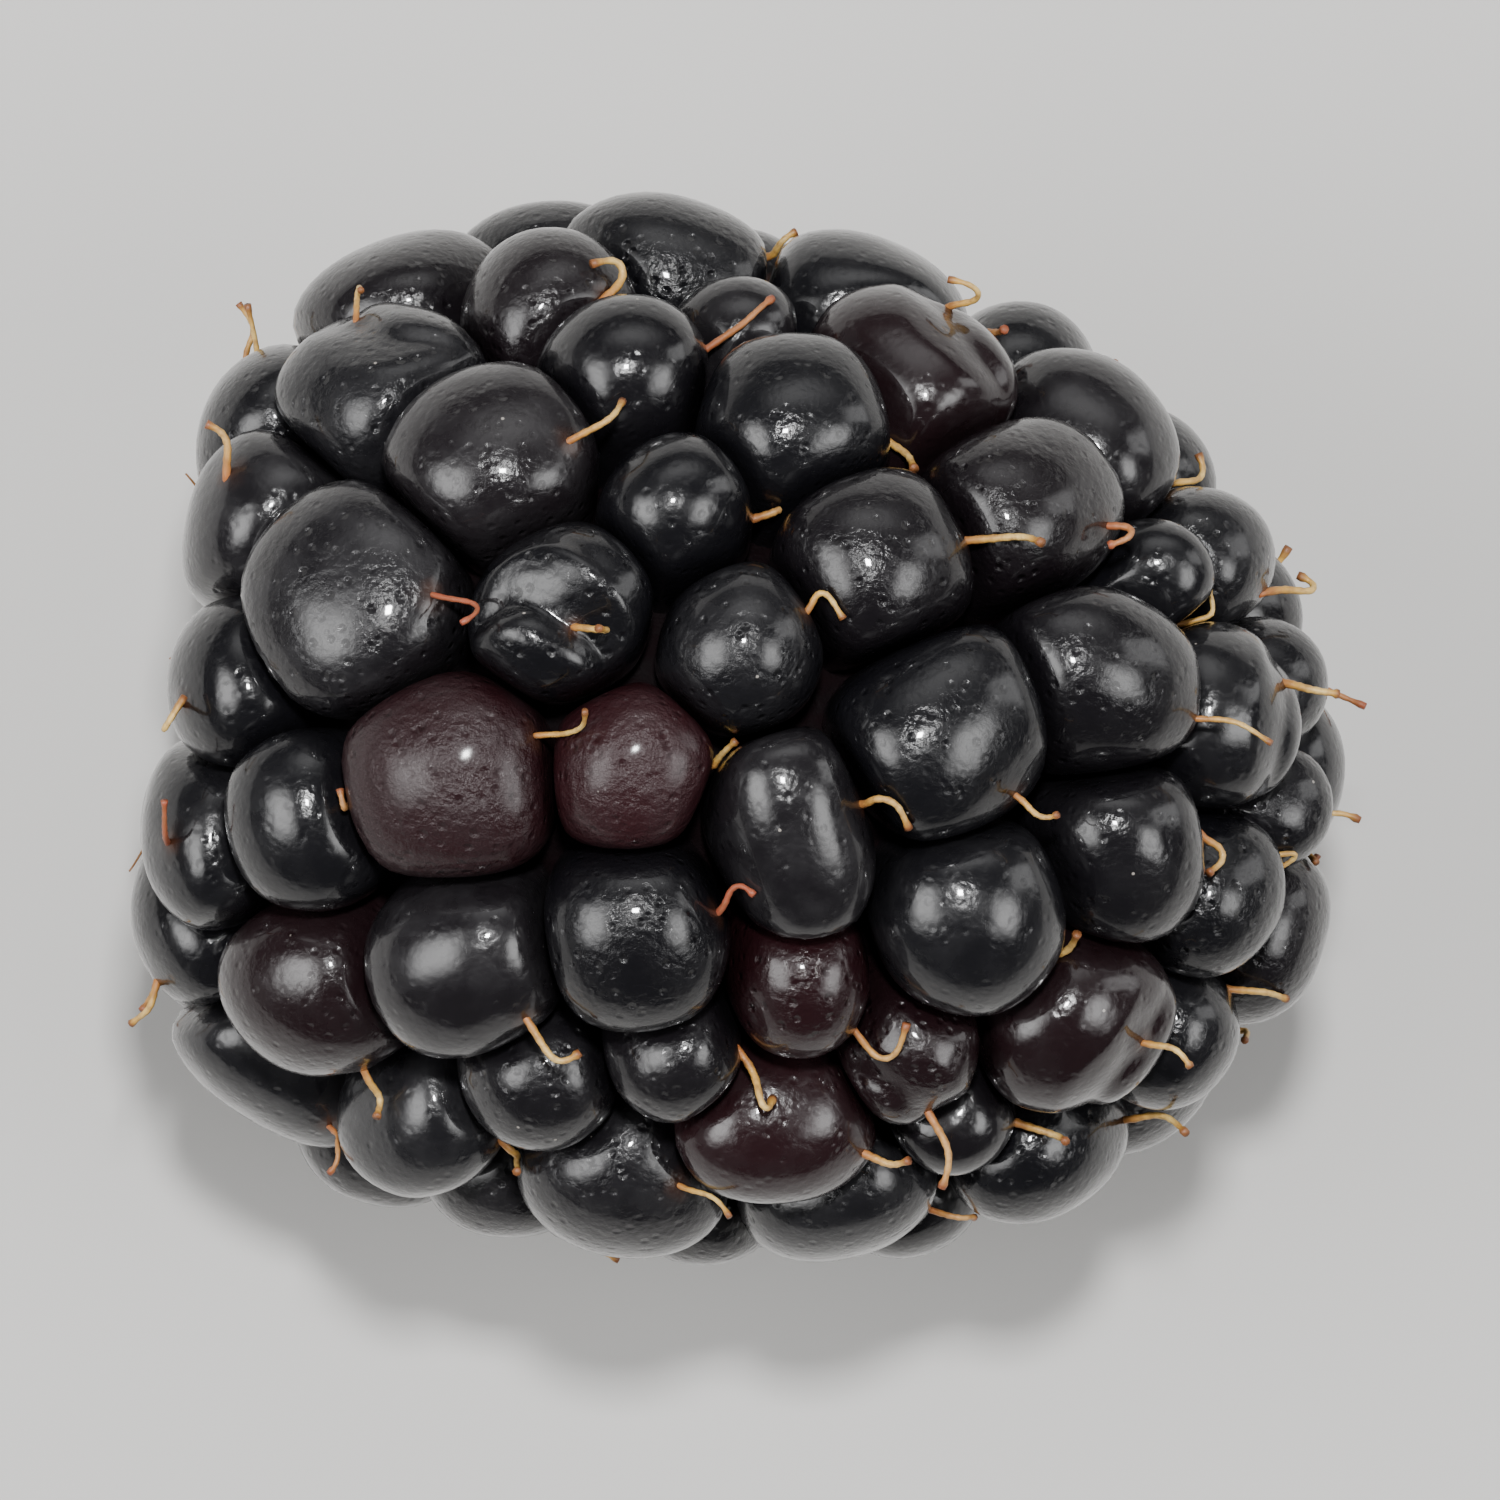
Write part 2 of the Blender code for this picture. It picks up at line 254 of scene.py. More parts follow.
@dataclass(frozen=True)
class Layout:
    """The rule that places the drupelets, with the same sizes and the same random draws as the solids'."""

    bed: Bed = Bed()
    count: int = 106
    depth: float = 0.0030
    fullness: float = 1.13
    size_spread: float = 0.17
    least_share: float = 0.66
    most_share: float = 1.24
    tip_shrink: float = 0.26
    small_ones_sink: float = 0.0022
    width_draw: Pair = (0.96, 1.06)
    seed: int = 12
    rounds: int = 240
    reach_in_spacings: float = 1.35
    step_in_spacings: float = 0.22
    push_power: float = 1.5
    slowing: float = 0.6
    neighbours: int = 5
    second_ring_lag: float = 1.25
    collar_count: int = 10
    collar_angle_deg: float = 33.0
    collar_tilt_deg: float = 42.0
    collar_sink: float = 0.0006
    collar_length: float = 0.0034
    collar_depth: float = 0.0025
    collar_share: float = 0.92
    collar_lead: float = 0.0010
    roll_deg: float = -18.0
    pitch_deg: float = -3.0
    flat: float = 0.00045
    rough_ball: int = 2

    def shares_at(self, shares: np.ndarray, centres: np.ndarray) -> np.ndarray:
        """Gives the drupelets' shares of the common size, less towards the tip."""
        nearness = np.clip(centres[:, 0] / self.bed.tip_length, 0, 1)
        return shares * (1 - self.tip_shrink * nearness**2)

    def first_centres(self) -> np.ndarray:
        """Places a collar round the stem end, then a spiral to the tip.

        Returns:
            The centres before they settle, the collar's first.
        """
        polar = math.radians(self.collar_angle_deg)
        golden = math.pi * (3 - math.sqrt(5))
        turns = [2 * math.pi * i / self.collar_count for i in range(self.collar_count)]
        centres = [self.bed.point(polar, turn) for turn in turns]
        others = self.count - self.collar_count
        first = math.cos(polar * self.second_ring_lag)
        for i in range(others):
            height = first - (first + 1) * (i + 0.5) / others
            centres.append(self.bed.point(math.acos(height), i * golden))
        return np.array(centres)

    def kept_off_stem(self, centres: np.ndarray, collar_x: float) -> np.ndarray:
        """Holds the collar in its ring and every other centre on the tip's side of it.

        Args:
            centres: The centres, the collar's first.
            collar_x: Where the collar lies along the axis.

        Returns:
            The held centres, still on the bed.
        """
        held = centres.copy()
        held[: self.collar_count, 0] = collar_x
        held[self.collar_count :, 0] = np.maximum(held[self.collar_count :, 0], collar_x + self.collar_lead)
        across = np.hypot(held[:, 1], held[:, 2])
        along = np.abs(held[:, 0]) / self.bed.half_lengths(held)
        power = self.bed.squareness
        wanted = self.bed.radius * np.clip(1 - along**power, 0, 1) ** (1 / power)
        moved = (held[:, 0] != centres[:, 0]) & (across > 0)
        held[moved, 1:] *= (wanted[moved] / across[moved])[:, None]
        return held

    def settled_centres(self, shares: np.ndarray) -> np.ndarray:
        """Pushes the centres apart until they crowd evenly, each by its size.

        Args:
            shares: Each drupelet's share of the common size.

        Returns:
            The settled centres.
        """
        centres = self.first_centres()
        collar_x = centres[0, 0]
        area = 4 * math.pi * self.bed.radius * (self.bed.stem_length + self.bed.tip_length) / 2
        spacing = math.sqrt(area / self.count / (math.sqrt(3) / 2))
        for turn in range(self.rounds):
            local = self.shares_at(shares, centres)
            reach = self.reach_in_spacings * spacing * (local[:, None] + local[None, :]) / 2
            apart = centres[:, None, :] - centres[None, :, :]
            distance = np.linalg.norm(apart, axis=2) + np.eye(self.count)
            push = np.clip(1 - distance / reach, 0, None) ** self.push_power
            np.fill_diagonal(push, 0)
            push_sum = (apart / distance[:, :, None] * push[:, :, None]).sum(axis=1)
            step = self.step_in_spacings * spacing * (1 - self.slowing * turn / self.rounds)
            centres = self.kept_off_stem(self.bed.onto(centres + push_sum * step), collar_x)
        return centres

    def half_widths(self, centres: np.ndarray, local: np.ndarray) -> list[float]:
        """Gives half of each drupelet's width: its share of the way to its nearest neighbours, and more.

        Args:
            centres: The settled centres.
            local: Each drupelet's share of the common size there.

        Returns:
            Half of each drupelet's width.
        """
        widths = []
        for i, centre in enumerate(centres):
            distance = np.linalg.norm(centres - centre, axis=1)
            nearest = np.argsort(distance)[1 : self.neighbours + 1]
            part = local[i] / (local[i] + local[nearest])
            widths.append(self.fullness * (distance[nearest] * part).mean())
        return widths

    def drupelets(self) -> list[Drupelet]:
        """Gives every drupelet in the berry's own frame, the collar first.

        Returns:
            The drupelets, each with its frame and sizes.
        """
        rng = random.Random(self.seed)
        drawn = [rng.gauss(1, self.size_spread) for _ in range(self.count)]
        shares = np.clip(drawn, self.least_share, self.most_share)
        shares[: self.collar_count] = self.collar_share
        centres = self.settled_centres(shares)
        local = self.shares_at(shares, centres)
        widths = self.half_widths(centres, local)
        tilt = math.radians(self.collar_tilt_deg)
        found = []
        for i, outward in enumerate(self.bed.normals(centres)):
            towards_tip = unit(np.array((1.0, 0, 0)) - outward[0] * outward)
            sink = self.small_ones_sink * max(0, 1 - local[i])
            along = widths[i] * rng.uniform(*self.width_draw)
            sizes = (self.depth, along, widths[i] * rng.uniform(*self.width_draw))
            if i < self.collar_count:
                leaning = math.cos(tilt) * outward - math.sin(tilt) * towards_tip
                towards_tip = math.cos(tilt) * towards_tip + math.sin(tilt) * outward
                outward = leaning
                sink = self.collar_sink
                sizes = (self.collar_depth, self.collar_length * rng.uniform(*self.width_draw), widths[i])
            centre = centres[i] - outward * sink
            found.append(Drupelet(centre, outward, towards_tip, np.array(sizes), i < self.collar_count))
        return found

    def resting(self, found: list[Drupelet]) -> Matrix:
        """Finds how the berry lies.

        Args:
            found: The drupelets in the berry's own frame.

        Returns:
            The matrix from the berry's own frame to the ground's.
        """
        pitch = Matrix.Rotation(math.radians(self.pitch_deg), 4, "Y")
        turn = pitch @ Matrix.Rotation(math.radians(self.roll_deg), 4, "X")
        ball = Ball(self.rough_ball).points()
        skin = [d.centre + (ball[:, [2, 1, 0]] * d.half_sizes) @ d.frame.T for d in found]
        world = np.concatenate(skin) @ np.array(turn.to_3x3()).T
        low, high = world.min(axis=0), world.max(axis=0)
        middle = (low + high) / 2
        return Matrix.Translation((-middle[0], -middle[1], -self.flat - low[2])) @ turn


@dataclass(frozen=True)
class Ball:
    """The evenly meshed ball that every drupelet starts as."""

    subdivisions: int

    def add(self, name: str) -> bpy.types.Object:
        """Adds the ball as a primitive at the origin.

        Args:
            name: The new object's name.

        Returns:
            The ball's object.
        """
        deselect()
        bpy.ops.mesh.primitive_ico_sphere_add(subdivisions=self.subdivisions, radius=1, location=(0, 0, 0))
        ball = bpy.context.object
        ball.name = ball.data.name = name
        return ball

    def points(self) -> np.ndarray:
        """Gives the ball's points.

        Returns:
            Points at distance 1 from the origin.
        """
        ball = self.add("ball")
        points = places(ball.data)
        bpy.data.objects.remove(ball)
        return points


def deselect() -> None:
    """Leaves nothing selected, so that an operator acts on one piece alone."""
    if bpy.context.object and bpy.context.object.mode != "OBJECT":
        bpy.ops.object.mode_set(mode="OBJECT")
    for obj in bpy.context.view_layer.objects:
        obj.select_set(False)


def linked(name: str, data: bpy.types.ID) -> bpy.types.Object:
    """Puts an object that shows a mesh, curve, light or camera into the scene.

    Args:
        name: The object's name.
        data: What it shows.

    Returns:
        The new object.
    """
    obj = bpy.data.objects.new(name, data)
    bpy.context.scene.collection.objects.link(obj)
    return obj


def places(mesh: bpy.types.Mesh) -> np.ndarray:
    """Reads a mesh's points.

    Args:
        mesh: The mesh.

    Returns:
        One row for each point.
    """
    flat = np.empty(len(mesh.vertices) * 3)
    mesh.vertices.foreach_get("co", flat)
    return flat.reshape(-1, 3)


def move_to(mesh: bpy.types.Mesh, points: np.ndarray) -> None:
    """Moves a mesh's points.

    Args:
        mesh: The mesh.
        points: The new places, one for each point.
    """
    mesh.vertices.foreach_set("co", points.astype(np.float32).ravel())
    mesh.update()


def set_attribute(mesh: bpy.types.Mesh, name: str, values: np.ndarray) -> None:
    """Stores a number for each of a mesh's points.

    Args:
        mesh: The mesh.
        name: The attribute's name, which the material reads.
        values: One number for each point.
    """
    layer = mesh.attributes.new(name, "FLOAT", "POINT")
    layer.data.foreach_set("value", np.asarray(values, np.float32))


def joined(parts: list[bpy.types.Object], name: str) -> bpy.types.Object:
    """Joins meshes into one piece.

    Args:
        parts: The objects, of which the first keeps its material slots' order.
        name: The piece's name.

    Returns:
        The joined piece, shaded smooth.
    """
    deselect()
    for part in parts:
        part.select_set(True)
    bpy.context.view_layer.objects.active = parts[0]
    bpy.ops.object.join()
    piece = bpy.context.object
    piece.name = piece.data.name = name
    bpy.ops.object.shade_smooth()
    return piece


@dataclass(frozen=True)
class Mark:
    """A drupelet that stands out on the side that the camera sees."""

    right: float
    up: float
    ripeness: Ripeness = Ripeness.BLACK
    dent: float = 0.0
    dent_turn_deg: float = -109.0


@dataclass(frozen=True)
class Squeeze:
    """How the drupelets press on each other and on the ground."""

    pressing_neighbours: int = 14
    roundness: float = 10.0
    ground_roundness: float = 16.0
    clear: float = 0.00003
    least_facing: float = 0.06
    squareness: Pair = (2.0, 2.45)
    flatness: Pair = (2.0, 2.4)
    width: float = 1.055
    stretch: float = 0.09
    lean_deg: Pair = (3.0, 13.0)
    wave: float = 0.024
    wave_count: int = 4
    wave_pace: float = 1.6
    swell: Pair = (-0.00015, 0.00025)
    collar_taper: float = 0.30
    collar_narrows: Pair = (0.1, 1.0)
    collar_length: Pair = (0.86, 1.02)
    root_tilt_deg: Pair = (60.0, 8.0)
    root_turn_deg: float = 26.0
    nipple: float = 0.040
    nipple_width: float = 0.15
    dimple: float = 0.045
    dimple_width: float = 0.40
    push_rounds: int = 3
    nearest_tried: int = 5
    clear_within: float = 0.0000001
    least_seen: float = 0.1
    seed: int = 5


class Crowd:
    """The drupelets as they lie on the ground, each one squeezed by its neighbours."""

    def __init__(self, layout: Layout, squeeze: Squeeze) -> None:
        """Lays the drupelets on the ground and draws what makes each one different.

        Args:
            layout: The rule that places them.
            squeeze: How they press on each other.
        """
        self.layout = layout
        self.squeeze = squeeze
        found = layout.drupelets()
        self.rest = layout.resting(found)
        self.turn = np.array(self.rest.to_3x3())
        self.axis = self.turn @ np.array((1.0, 0, 0))
        self.drupelets = [self.laid(drupelet) for drupelet in found]
        self.centres = np.array([drupelet.centre for drupelet in self.drupelets])
        self.widths = np.array([drupelet.half_sizes[1:].mean() for drupelet in self.drupelets])
        rng = np.random.default_rng(squeeze.seed)
        count = len(self.drupelets)
        self.powers = rng.uniform(*squeeze.squareness, count)
        self.flatness = rng.uniform(*squeeze.flatness, count)
        self.spins = rng.uniform(-math.pi, math.pi, count)
        self.stretches = np.exp(rng.normal(0, squeeze.stretch, count))
        self.lengths = rng.uniform(*squeeze.collar_length, count)
        self.leans = np.radians(rng.uniform(*squeeze.lean_deg, count))
        self.waves = rng.normal(0, 1, (count, squeeze.wave_count, 3)) * squeeze.wave_pace
        self.phases = rng.uniform(0, 2 * math.pi, (count, squeeze.wave_count))
        self.swells = rng.uniform(*squeeze.swell, count)
        self.roots = np.array([self.root_direction(i, rng) for i in range(count)])
        self.dents: dict[int, "Dent"] = {}

    def laid(self, drupelet: Drupelet) -> Drupelet:
        """Moves a drupelet from the berry's own frame to the ground's.

        Args:
            drupelet: The drupelet in the berry's own frame.

        Returns:
            The same drupelet on the ground.
        """
        centre = np.array(self.rest @ Vector(drupelet.centre))
        outward = self.turn @ drupelet.outward
        towards_tip = self.turn @ drupelet.towards_tip
        return Drupelet(centre, outward, towards_tip, drupelet.half_sizes, drupelet.in_collar)

    def root_direction(self, index: int, rng: np.random.Generator) -> np.ndarray:
        """Draws where a drupelet's style is rooted, on its shoulder towards the tip.

        Args:
            index: Which drupelet.
            rng: The random draws.

        Returns:
            The unit direction from the drupelet's centre to the root.
        """
        drupelet = self.drupelets[index]
        tilt = math.radians(rng.normal(*self.squeeze.root_tilt_deg))
        side = math.radians(rng.normal(0, self.squeeze.root_turn_deg))
        along = math.cos(side) * drupelet.towards_tip + math.sin(side) * drupelet.sideways
        return math.cos(tilt) * drupelet.outward + math.sin(tilt) * along

    def off_root(self, index: int, directions: np.ndarray) -> np.ndarray:
        """Gives the angle between each direction and a drupelet's style root."""
        return np.arccos(np.clip(directions @ self.roots[index], -1, 1))

    def free_reach(self, index: int, directions: np.ndarray) -> np.ndarray:
        """Gives how far a drupelet's skin would lie from its centre if nothing pressed on it.

        Args:
            index: Which drupelet.
            directions: Unit directions from its centre.

        Returns:
            One distance for each direction.
        """
        drupelet = self.drupelets[index]
        lean = self.leans[index]
        along = math.cos(lean) * drupelet.towards_tip - math.sin(lean) * drupelet.outward
        outward = math.cos(lean) * drupelet.outward + math.sin(lean) * drupelet.towards_tip
        height, length, side = (directions @ np.stack((outward, along, drupelet.sideways), axis=1)).T
        sizes = drupelet.half_sizes + np.array((self.swells[index], 0, 0))
        if drupelet.in_collar:
            narrowing = self.squeeze.collar_taper * smooth_step(*self.squeeze.collar_narrows, -length)
            side = side * (1 + narrowing)
            length = length / self.lengths[index]
        else:
            spin = self.spins[index]
            length, side = (
                math.cos(spin) * length + math.sin(spin) * side,
                math.cos(spin) * side - math.sin(spin) * length,
            )
            stretch = self.stretches[index]
            sizes = sizes * np.array((1, self.squeeze.width * stretch, self.squeeze.width / stretch))
        square, flat = self.powers[index], self.flatness[index]
        around = np.abs(length / sizes[1]) ** square + np.abs(side / sizes[2]) ** square
        reach = (np.abs(height / sizes[0]) ** flat + around ** (flat / square)) ** (-1 / flat)
        ripple = np.sin(directions @ self.waves[index].T + self.phases[index]).sum(axis=1)
        reach *= 1 + self.squeeze.wave * ripple / math.sqrt(self.squeeze.wave_count)
        off_root = self.off_root(index, directions)
        reach *= 1 + self.squeeze.nipple * bell(off_root, self.squeeze.nipple_width)
        reach *= 1 - self.squeeze.dimple * bell(off_root, self.squeeze.dimple_width)
        if index in self.dents:
            reach *= self.dents[index].share(directions)
        return reach

    def reach(self, index: int, directions: np.ndarray) -> np.ndarray:
        """Gives how far a drupelet's skin lies from its centre, pressed by its neighbours and the ground.

        Args:
            index: Which drupelet.
            directions: Unit directions from its centre.

        Returns:
            One distance for each direction.
        """
        power = self.squeeze.roundness
        centre = self.centres[index]
        inverse = self.free_reach(index, directions) ** -power
        apart = self.centres - centre
        distance = np.linalg.norm(apart, axis=1)
        for other in np.argsort(distance)[1 : self.squeeze.pressing_neighbours + 1]:
            part = self.widths[index] / (self.widths[index] + self.widths[other])
            wall = distance[other] * part - self.squeeze.clear
            facing = directions @ (apart[other] / distance[other])
            pressed = facing > self.squeeze.least_facing
            inverse[pressed] += (wall / facing[pressed]) ** -power
        reach = inverse ** (-1 / power)
        down = -directions[:, 2]
        pressed = down > self.squeeze.least_facing
        hard = self.squeeze.ground_roundness
        floor = centre[2] / down[pressed]
        reach[pressed] = (reach[pressed] ** -hard + floor**-hard) ** (-1 / hard)
        return reach

    def pushed_clear(self, point: np.ndarray, clearance: float) -> np.ndarray:
        """Moves a point out of every drupelet, by as little as it takes.

        Args:
            point: The point.
            clearance: How far outside the skin it ends at least.

        Returns:
            The moved point.
        """
        for _ in range(self.squeeze.push_rounds):
            away = point - self.centres
            distance = np.linalg.norm(away, axis=1)
            for index in np.argsort(distance)[: self.squeeze.nearest_tried]:
                direction = away[index] / distance[index]
                wanted = self.reach(index, direction[None, :])[0] + clearance
                if distance[index] < wanted - self.squeeze.clear_within:
                    point = self.centres[index] + direction * wanted
                    break
            else:
                return point
        return point

    def seen_at(self, mark: Mark, picture_right: np.ndarray, picture_up: np.ndarray) -> int:
        """Finds the drupelet that shows nearest to a mark.

        Args:
            mark: The mark, measured from the middle of the berry in the picture.
            picture_right: The picture's rightward direction.
            picture_up: The picture's upward direction.

        Returns:
            The drupelet's index.
        """
        back = np.cross(picture_right, picture_up)
        facing = np.array([drupelet.outward @ back for drupelet in self.drupelets])
        tops = self.centres + np.array([d.outward * d.half_sizes[0] for d in self.drupelets])
        middle = self.centres.mean(axis=0)
        right = (tops - middle) @ picture_right - mark.right
        off = np.hypot(right, (tops - middle) @ picture_up - mark.up)
        off[facing < self.squeeze.least_seen] = np.inf
        return int(np.argmin(off))


@dataclass(frozen=True)
class Dent:
    """Where a drupelet's skin has sunk in: a curved ridge, a slope down to a fold, and a lower lip."""

    outward: np.ndarray
    inward_side: np.ndarray
    sideways: np.ndarray
    strength: float = 1.0
    half_width: float = 0.80
    front: Pair = (-0.25, 0.3)
    ends: Pair = (0.6, 1.1)
    ridge_at: float = -0.36
    ridge_sag: float = 0.42
    ridge: float = 0.028
    ridge_width: float = 0.085
    fold_at: float = 0.16
    fold_sag: float = 0.42
    fold_round: float = 0.28
    wander: float = 0.05
    ridge_pace: float = 4.1
    fold_pace: float = 5.3
    fold_phase: float = 0.7
    depth: float = 0.17
    slope_width: float = 0.33
    wall_width: float = 0.15
    slope_turn: float = 0.1
    sinks_from: Pair = (-0.08, 0.2)
    lip: float = 0.030

    def fold_line(self, side: np.ndarray) -> np.ndarray:
        """Gives how far down the fold runs, off to each side of its middle.

        Args:
            side: How far off to the side, as a share of the dent's half width.

        Returns:
            How far down the fold runs there, as a part of a unit direction.
        """
        bow = np.hypot(side, self.fold_round) - self.fold_round
        wave = np.sin(self.fold_pace * side + self.fold_phase)
        return self.fold_at + self.fold_sag * bow + self.wander * wave

    def share(self, directions: np.ndarray) -> np.ndarray:
        """Gives what the dent leaves of the drupelet's reach in each direction.

        Args:
            directions: Unit directions from the drupelet's centre.

        Returns:
            One factor for each direction.
        """
        along = directions @ self.inward_side
        side = directions @ self.sideways / self.half_width
        facing = smooth_step(*self.front, directions @ self.outward)
        within = 1 - smooth_step(*self.ends, np.abs(side))
        ridge_line = self.ridge_at + self.ridge_sag * side**2 + self.wander * np.sin(self.ridge_pace * side)
        off_ridge = along - ridge_line
        off_fold = along - self.fold_line(side)
        above = smooth_step(self.slope_turn, -self.slope_turn, off_fold)
        width = self.wall_width + (self.slope_width - self.wall_width) * above
        sunk = self.depth * bell(off_fold, width) * smooth_step(*self.sinks_from, off_ridge)
        raised = self.ridge * bell(off_ridge, self.ridge_width)
        raised += self.lip * bell(off_fold - 2 * self.wall_width, self.wall_width)
        return 1 + self.strength * facing * within * (raised - sunk)

    def fold_direction(self, side: float) -> np.ndarray:
        """Gives the direction to a point of the fold, off to one side of its middle.

        Args:
            side: How far off to the side, as a share of the dent's half width.

        Returns:
            The unit direction from the drupelet's centre.
        """
        along = float(self.fold_line(np.array(side)))
        rise = math.sqrt(max(0.0, 1 - along**2 - (side * self.half_width) ** 2))
        return unit(rise * self.outward + along * self.inward_side + side * self.half_width * self.sideways)


class NodeTree:
    """The nodes of one procedural finish, built round a Principled shader."""

    SPECK_EDGE = 0.6
    CHANCE_STEP = 0.02

    def __init__(self, name: str) -> None:
        """Starts a material with its shader.

        Args:
            name: The material's name.
        """
        self.material = bpy.data.materials.new(name)
        self.material.use_nodes = True
        self.tree = self.material.node_tree
        self.shader = self.tree.nodes["Principled BSDF"]
        self.place = self.add("ShaderNodeTexCoord").outputs["Object"]

    def add(self, kind: str, **settings: object) -> bpy.types.Node:
        """Adds a node.

        Args:
            kind: Blender's name for the node's type.
            settings: The node's own settings by name.

        Returns:
            The node.
        """
        node = self.tree.nodes.new(kind)
        for name, value in settings.items():
            setattr(node, name, value)
        return node

    def link(self, source: Socket, target: Socket) -> None:
        """Links an output to an input."""
        self.tree.links.new(source, target)

    def set(self, **values: object) -> None:
        """Sets the shader's own sockets, each named with underscores for spaces."""
        for name, value in values.items():
            self.shader.inputs[name.replace("_", " ")].default_value = value

    def drive(self, name: str, source: Socket) -> None:
        """Links an output to one of the shader's sockets."""
        self.link(source, self.shader.inputs[name])

    def texture(self, kind: str, size: float) -> bpy.types.Node:
        """Adds a texture in the piece's own space, with cells or blotches of about a size.

        Args:
            kind: Blender's name for the node's type.
            size: The size of one cell or blotch.

        Returns:
            The texture's node.
        """
        node = self.add(kind)
        node.inputs["Scale"].default_value = 1 / size
        self.link(self.place, node.inputs["Vector"])
        return node

    def noise(self, size: float, detail: float = 3.0, roughness: float = 0.55) -> Socket:
        """Adds a noise in the piece's own space.

        Args:
            size: The size of one blotch.
            detail: How many finer layers it has.
            roughness: How strong the finer layers are.

        Returns:
            The noise, about 0 to 1.
        """
        node = self.texture("ShaderNodeTexNoise", size)
        node.inputs["Detail"].default_value = detail
        node.inputs["Roughness"].default_value = roughness
        return node.outputs["Fac"]

    def cells(self, size: float) -> Socket:
        """Adds a Voronoi pattern and gives the distance from each cell's middle."""
        return self.texture("ShaderNodeTexVoronoi", size).outputs["Distance"]

    def specks(self, spacing: float, radius: float, missing: float) -> Socket:
        """Scatters small round specks.

        Args:
            spacing: How far apart they could be.
            radius: Their radius as a share of that.
            missing: The share of places left bare.

        Returns:
            1 in a speck and 0 elsewhere.
        """
        node = self.texture("ShaderNodeTexVoronoi", spacing)
        split = self.add("ShaderNodeSeparateColor")
        self.link(node.outputs["Color"], split.inputs[0])
        chosen = self.between(split.outputs[0], missing, missing + self.CHANCE_STEP, 0.0, 1.0)
        inside = self.between(node.outputs["Distance"], self.SPECK_EDGE * radius, radius, 1.0, 0.0)
        return self.times(chosen, inside)

    def attribute(self, name: str) -> Socket:
        """Reads a number stored on the piece's points."""
        return self.add("ShaderNodeAttribute", attribute_name=name).outputs["Fac"]

    def between(self, source: Socket, low: float, high: float, to_low: float, to_high: float) -> Socket:
        """Maps a range of numbers to another, clamped.

        Args:
            source: The numbers.
            low: The start of their range.
            high: The end of their range.
            to_low: What the start becomes.
            to_high: What the end becomes.

        Returns:
            The mapped numbers.
        """
        node = self.add("ShaderNodeMapRange", interpolation_type="SMOOTHSTEP")
        for name, value in zip(("From Min", "From Max", "To Min", "To Max"), (low, high, to_low, to_high)):
            node.inputs[name].default_value = value
        self.link(source, node.inputs["Value"])
        return node.outputs["Result"]

    def times(self, first: Socket, second: Socket) -> Socket:
        """Multiplies two numbers.

        Args:
            first: One number.
            second: The other.

        Returns:
            Their product.
        """
        node = self.add("ShaderNodeMath", operation="MULTIPLY")
        self.link(first, node.inputs[0])
        self.link(second, node.inputs[1])
        return node.outputs[0]

    def ramp(self, factor: Socket, stops: list[tuple[float, Colour]]) -> Socket:
        """Maps a number to a colour.

        Args:
            factor: The number.
            stops: Places from 0 to 1, each with its colour.

        Returns:
            The colour.
        """
        node = self.add("ShaderNodeValToRGB")
        elements = node.color_ramp.elements
        while len(elements) < len(stops):
            elements.new(1.0)
        for element, (position, colour) in zip(elements, stops):
            element.position = position
            element.color = (*colour, 1)
        self.link(factor, node.inputs["Fac"])
        return node.outputs["Color"]

    def mixed(self, factor: Socket, first: Socket | Colour, second: Socket | Colour) -> Socket:
        """Mixes two colours.

        Args:
            factor: The second colour's share.
            first: A colour or an output.
            second: A colour or an output.

        Returns:
            The mixed colour.
        """
        node = self.add("ShaderNodeMix", data_type="RGBA")
        self.link(factor, node.inputs["Factor"])
        for side, colour in (("A", first), ("B", second)):
            socket = next(s for s in node.inputs if s.name == side and s.type == "RGBA")
            if isinstance(colour, tuple):
                socket.default_value = (*colour, 1)
            else:
                self.link(colour, socket)
        return node.outputs[2]

    def bump(self, layers: list[tuple[Socket, float]]) -> None:
        """Raises the surface by several heights in turn.

        Args:
            layers: Each height from 0 to 1 with the depth that it stands for.
        """
        before = None
        for height, depth in layers:
            node = self.add("ShaderNodeBump")
            node.inputs["Distance"].default_value = depth
            self.link(height, node.inputs["Height"])
            if before:
                self.link(before, node.inputs["Normal"])
            before = node.outputs["Normal"]
        self.drive("Normal", before)


